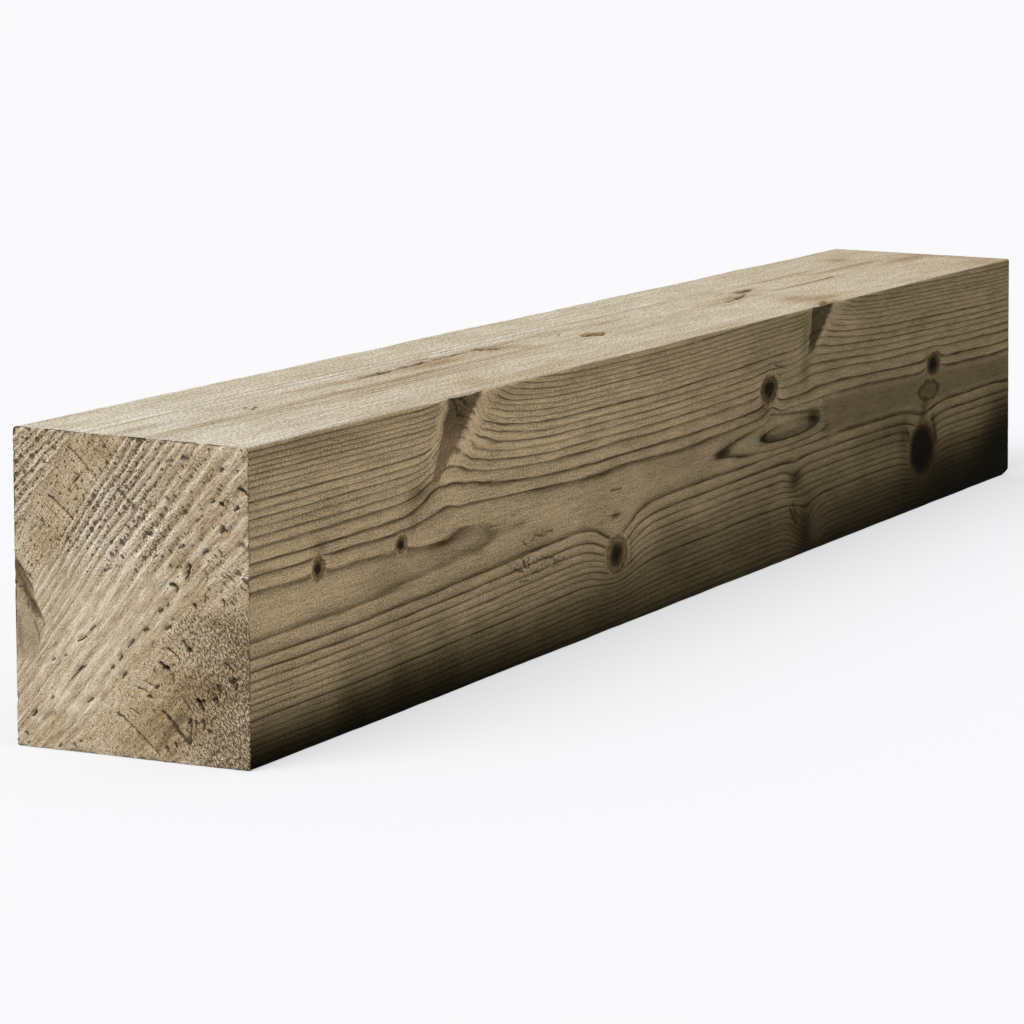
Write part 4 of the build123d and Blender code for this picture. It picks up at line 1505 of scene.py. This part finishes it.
def cut_end(name, crest, middle, groove_tone, strokes=()):
    """Ridges by the ridge number, times tone and shade, with chains of pits, dashes and strokes."""
    f = Finish(name)
    spot = f.vector_layer("place")
    across, up, run = f.split(spot)
    ridge, strength, stain_and_shade = f.split(f.vector_layer("grain"))
    pitted, fuzzed, shade = f.split(f.vector_layer("wear"))

    shiver = f.noise(f.times(run, 0.05), f.times(ridge, 0.8), 2.0, 0.5)
    number = f.plus(ridge, f.around(shiver, 0.5))
    profile = f.stops(f.math("FRACT", number), RIDGE_PROFILE)
    ridged = f.blend(profile, (*groove_tone, 1.0), (*crest, 1.0))
    colour = f.blend(strength, (*middle, 1.0), ridged)

    chain = f.noise(f.times(run, 0.62), f.times(ridge, 2.6), 2.0, 0.6)
    holes = f.total(chain, f.times(profile, -0.16), f.times(pitted, 0.2), -0.69)
    middle_away, chance = f.cells(f.times(run, 0.18), f.plus(number, 0.55), 0.8)
    pit_size = f.times(f.times(pitted, chance), 0.5)
    pit_rim, pit_floor = f.plus(pit_size, 0.02), f.math("MULTIPLY_ADD", pit_size, 0.6, -0.04)
    pit = f.between(middle_away, pit_rim, pit_floor)
    lean = f.plus(f.times(across, 0.19), f.times(up, -0.32))
    cross = f.plus(f.times(across, 0.78), f.times(up, 0.45))
    dashes = f.total(f.noise(lean, cross, 3.0, 0.7), f.times(fuzzed, 0.34), -0.82)
    holes = f.math("MAXIMUM", f.between(f.math("MAXIMUM", holes, dashes), 0.0, 0.06), pit)

    fine = f.noise(f.times(across, 0.85), f.times(up, 0.95), 2.0, 0.6)
    grain = f.noise(f.times(across, 0.4), f.times(up, 0.5), 3.0, 0.7)
    hair = f.noise(f.times(run, 0.09), f.times(ridge, 6.0), 4.0, 0.7)
    sweep = f.noise(f.times(run, 0.016), f.times(ridge, 1.5), 3.0, 0.6)
    cloud = f.noise(f.times(across, 0.05), f.times(up, 0.05), 4.0, 0.65)
    raised = f.math("MAXIMUM", pitted, f.times(fuzzed, 0.6))
    rough = f.math("MULTIPLY_ADD", raised, 1.7, 0.9)
    hairy = f.math("MULTIPLY_ADD", fuzzed, -1.0, 1.4)
    clouds = ((fine, rough), (grain, 0.4), (hair, hairy), (sweep, 0.65), (cloud, 0.5))
    tone = f.total(1.0, *(f.around(noise, weight) for noise, weight in clouds))
    colour = f.blend(1.0, colour, f.warm(f.times(tone, shade), *END_WARMTH), "MULTIPLY")
    colour = f.blend(f.times(holes, 0.8), colour, (*END_PIT, 1.0))
    if strokes:
        colour = f.blend(stroke_mark(f, shaken(f, spot, 4.0, 2.2), strokes), colour, (*PIT, 1.0))
    colour = f.blend(stain_and_shade, colour, (*END_PIT, 1.0))
    bristle = f.times(fine, f.math("MULTIPLY_ADD", raised, 0.45, 0.2))
    bristle = f.plus(bristle, f.times(hair, 0.3))
    height = f.total(bristle, f.times(f.times(profile, strength), 0.5), f.times(holes, -0.6))
    return f.done(colour, END_ROUGHNESS, height, END_BUMP)


near_wood = cut_end(
    "near_end_wood", wood(229, 212, 184), wood(217, 197, 165), wood(146, 124, 93), END_STROKES)
far_wood = cut_end(
    "far_end_wood", wood(218, 202, 170), wood(202, 184, 150), wood(158, 136, 101))
for material in (front_wood, top_wood, back_wood, base_wood, near_wood, far_wood):
    skin_mesh.materials.append(material)

# %% [markdown]
# ## Light
# One wide soft light stands high on the left, behind the timber, so the top is bright, the near end
# half lit and the front in soft shade. A pale sky fills the rest, dimmer for the timber than for the
# camera, which sees it white.

# %% Lamp and sky
LAMP_FROM = Vector((-0.66, 0.25, 0.70))
LAMP_POWER, LAMP_WIDTH = 1.9, math.radians(50)
SKY_POWER = 0.56
SKY_COLOUR = (0.98, 0.98, 1.0, 1.0)

lamp = bpy.data.objects.new("studio_light", bpy.data.lights.new("studio_light", "SUN"))
bpy.context.scene.collection.objects.link(lamp)
lamp.data.energy, lamp.data.angle = LAMP_POWER, LAMP_WIDTH
lamp.rotation_mode = "QUATERNION"
lamp.rotation_quaternion = LAMP_FROM.to_track_quat("Z", "Y")

world = bpy.data.worlds.new("studio")
bpy.context.scene.world = world
world.use_nodes = True
sky = world.node_tree.nodes
sky.clear()


def seen_directly(nodes, links):
    """1 for what the camera sees itself or in a gloss or glass, 0 for light that only spreads."""
    light = nodes.new("ShaderNodeLightPath")
    either = None
    for ray in ("Is Camera Ray", "Is Glossy Ray", "Is Transmission Ray"):
        if either is None:
            either = light.outputs[ray]
            continue
        node = nodes.new("ShaderNodeMath")
        node.operation = "MAXIMUM"
        links.new(either, node.inputs[0])
        links.new(light.outputs[ray], node.inputs[1])
        either = node.outputs[0]
    return either


def background(strength):
    """A sky of one colour and the given strength."""
    node = sky.new("ShaderNodeBackground")
    node.inputs["Color"].default_value = SKY_COLOUR
    node.inputs["Strength"].default_value = strength
    return node.outputs[0]


pick = sky.new("ShaderNodeMixShader")
world_links = world.node_tree.links
world_links.new(seen_directly(sky, world_links), pick.inputs[0])
world_links.new(background(SKY_POWER), pick.inputs[1])
world_links.new(background(1.0), pick.inputs[2])
world_links.new(pick.outputs[0], sky.new("ShaderNodeOutputWorld").inputs[0])
print("lamp of", LAMP_POWER, "and sky of", SKY_POWER)

# %% [markdown]
# ## Ground
# The camera sees white paper with the timber's shadow on it: part of the paper's white is a glow, so
# the shadow stays pale. The timber itself sees a greyer ground, which keeps its foot dark. The
# paper lies a hair below the base, so that the two never share a plane.

# %% Ground
GROUND_REACH, GROUND_GAP = 60.0, 0.0002
PAPER, PAPER_GLOW = (0.965, 0.963, 0.983, 1.0), 0.6
GREY_GROUND = (0.16, 0.155, 0.15, 1.0)

ground_mesh = bpy.data.meshes.new("ground")
r = GROUND_REACH
z = -GROUND_GAP
ground_mesh.from_pydata([(-r, -r, z), (r, -r, z), (r, r, z), (-r, r, z)], [], [(0, 1, 2, 3)])
ground = bpy.data.objects.new("ground", ground_mesh)
bpy.context.scene.collection.objects.link(ground)

paper = Finish("paper_ground")
lit = paper.node("BsdfDiffuse", PAPER)
glow = paper.node("Emission", PAPER, 1.0)
paper_look = paper.node("MixShader", PAPER_GLOW, lit, glow)
grey = paper.node("BsdfDiffuse", GREY_GROUND)
choice = seen_directly(paper.tree.nodes, paper.tree.links)
paper.node("OutputMaterial", paper.node("MixShader", choice, grey, paper_look))
ground_mesh.materials.append(paper.material)
print("paper reaches", GROUND_REACH, "m each way")

# %% [markdown]
# The skin has to keep the solid's size. The colours are shown as written, and the scene is brought up
# to date.

# %% Plain colour view
bpy.context.scene.view_settings.view_transform = "Standard"
bpy.context.view_layer.update()
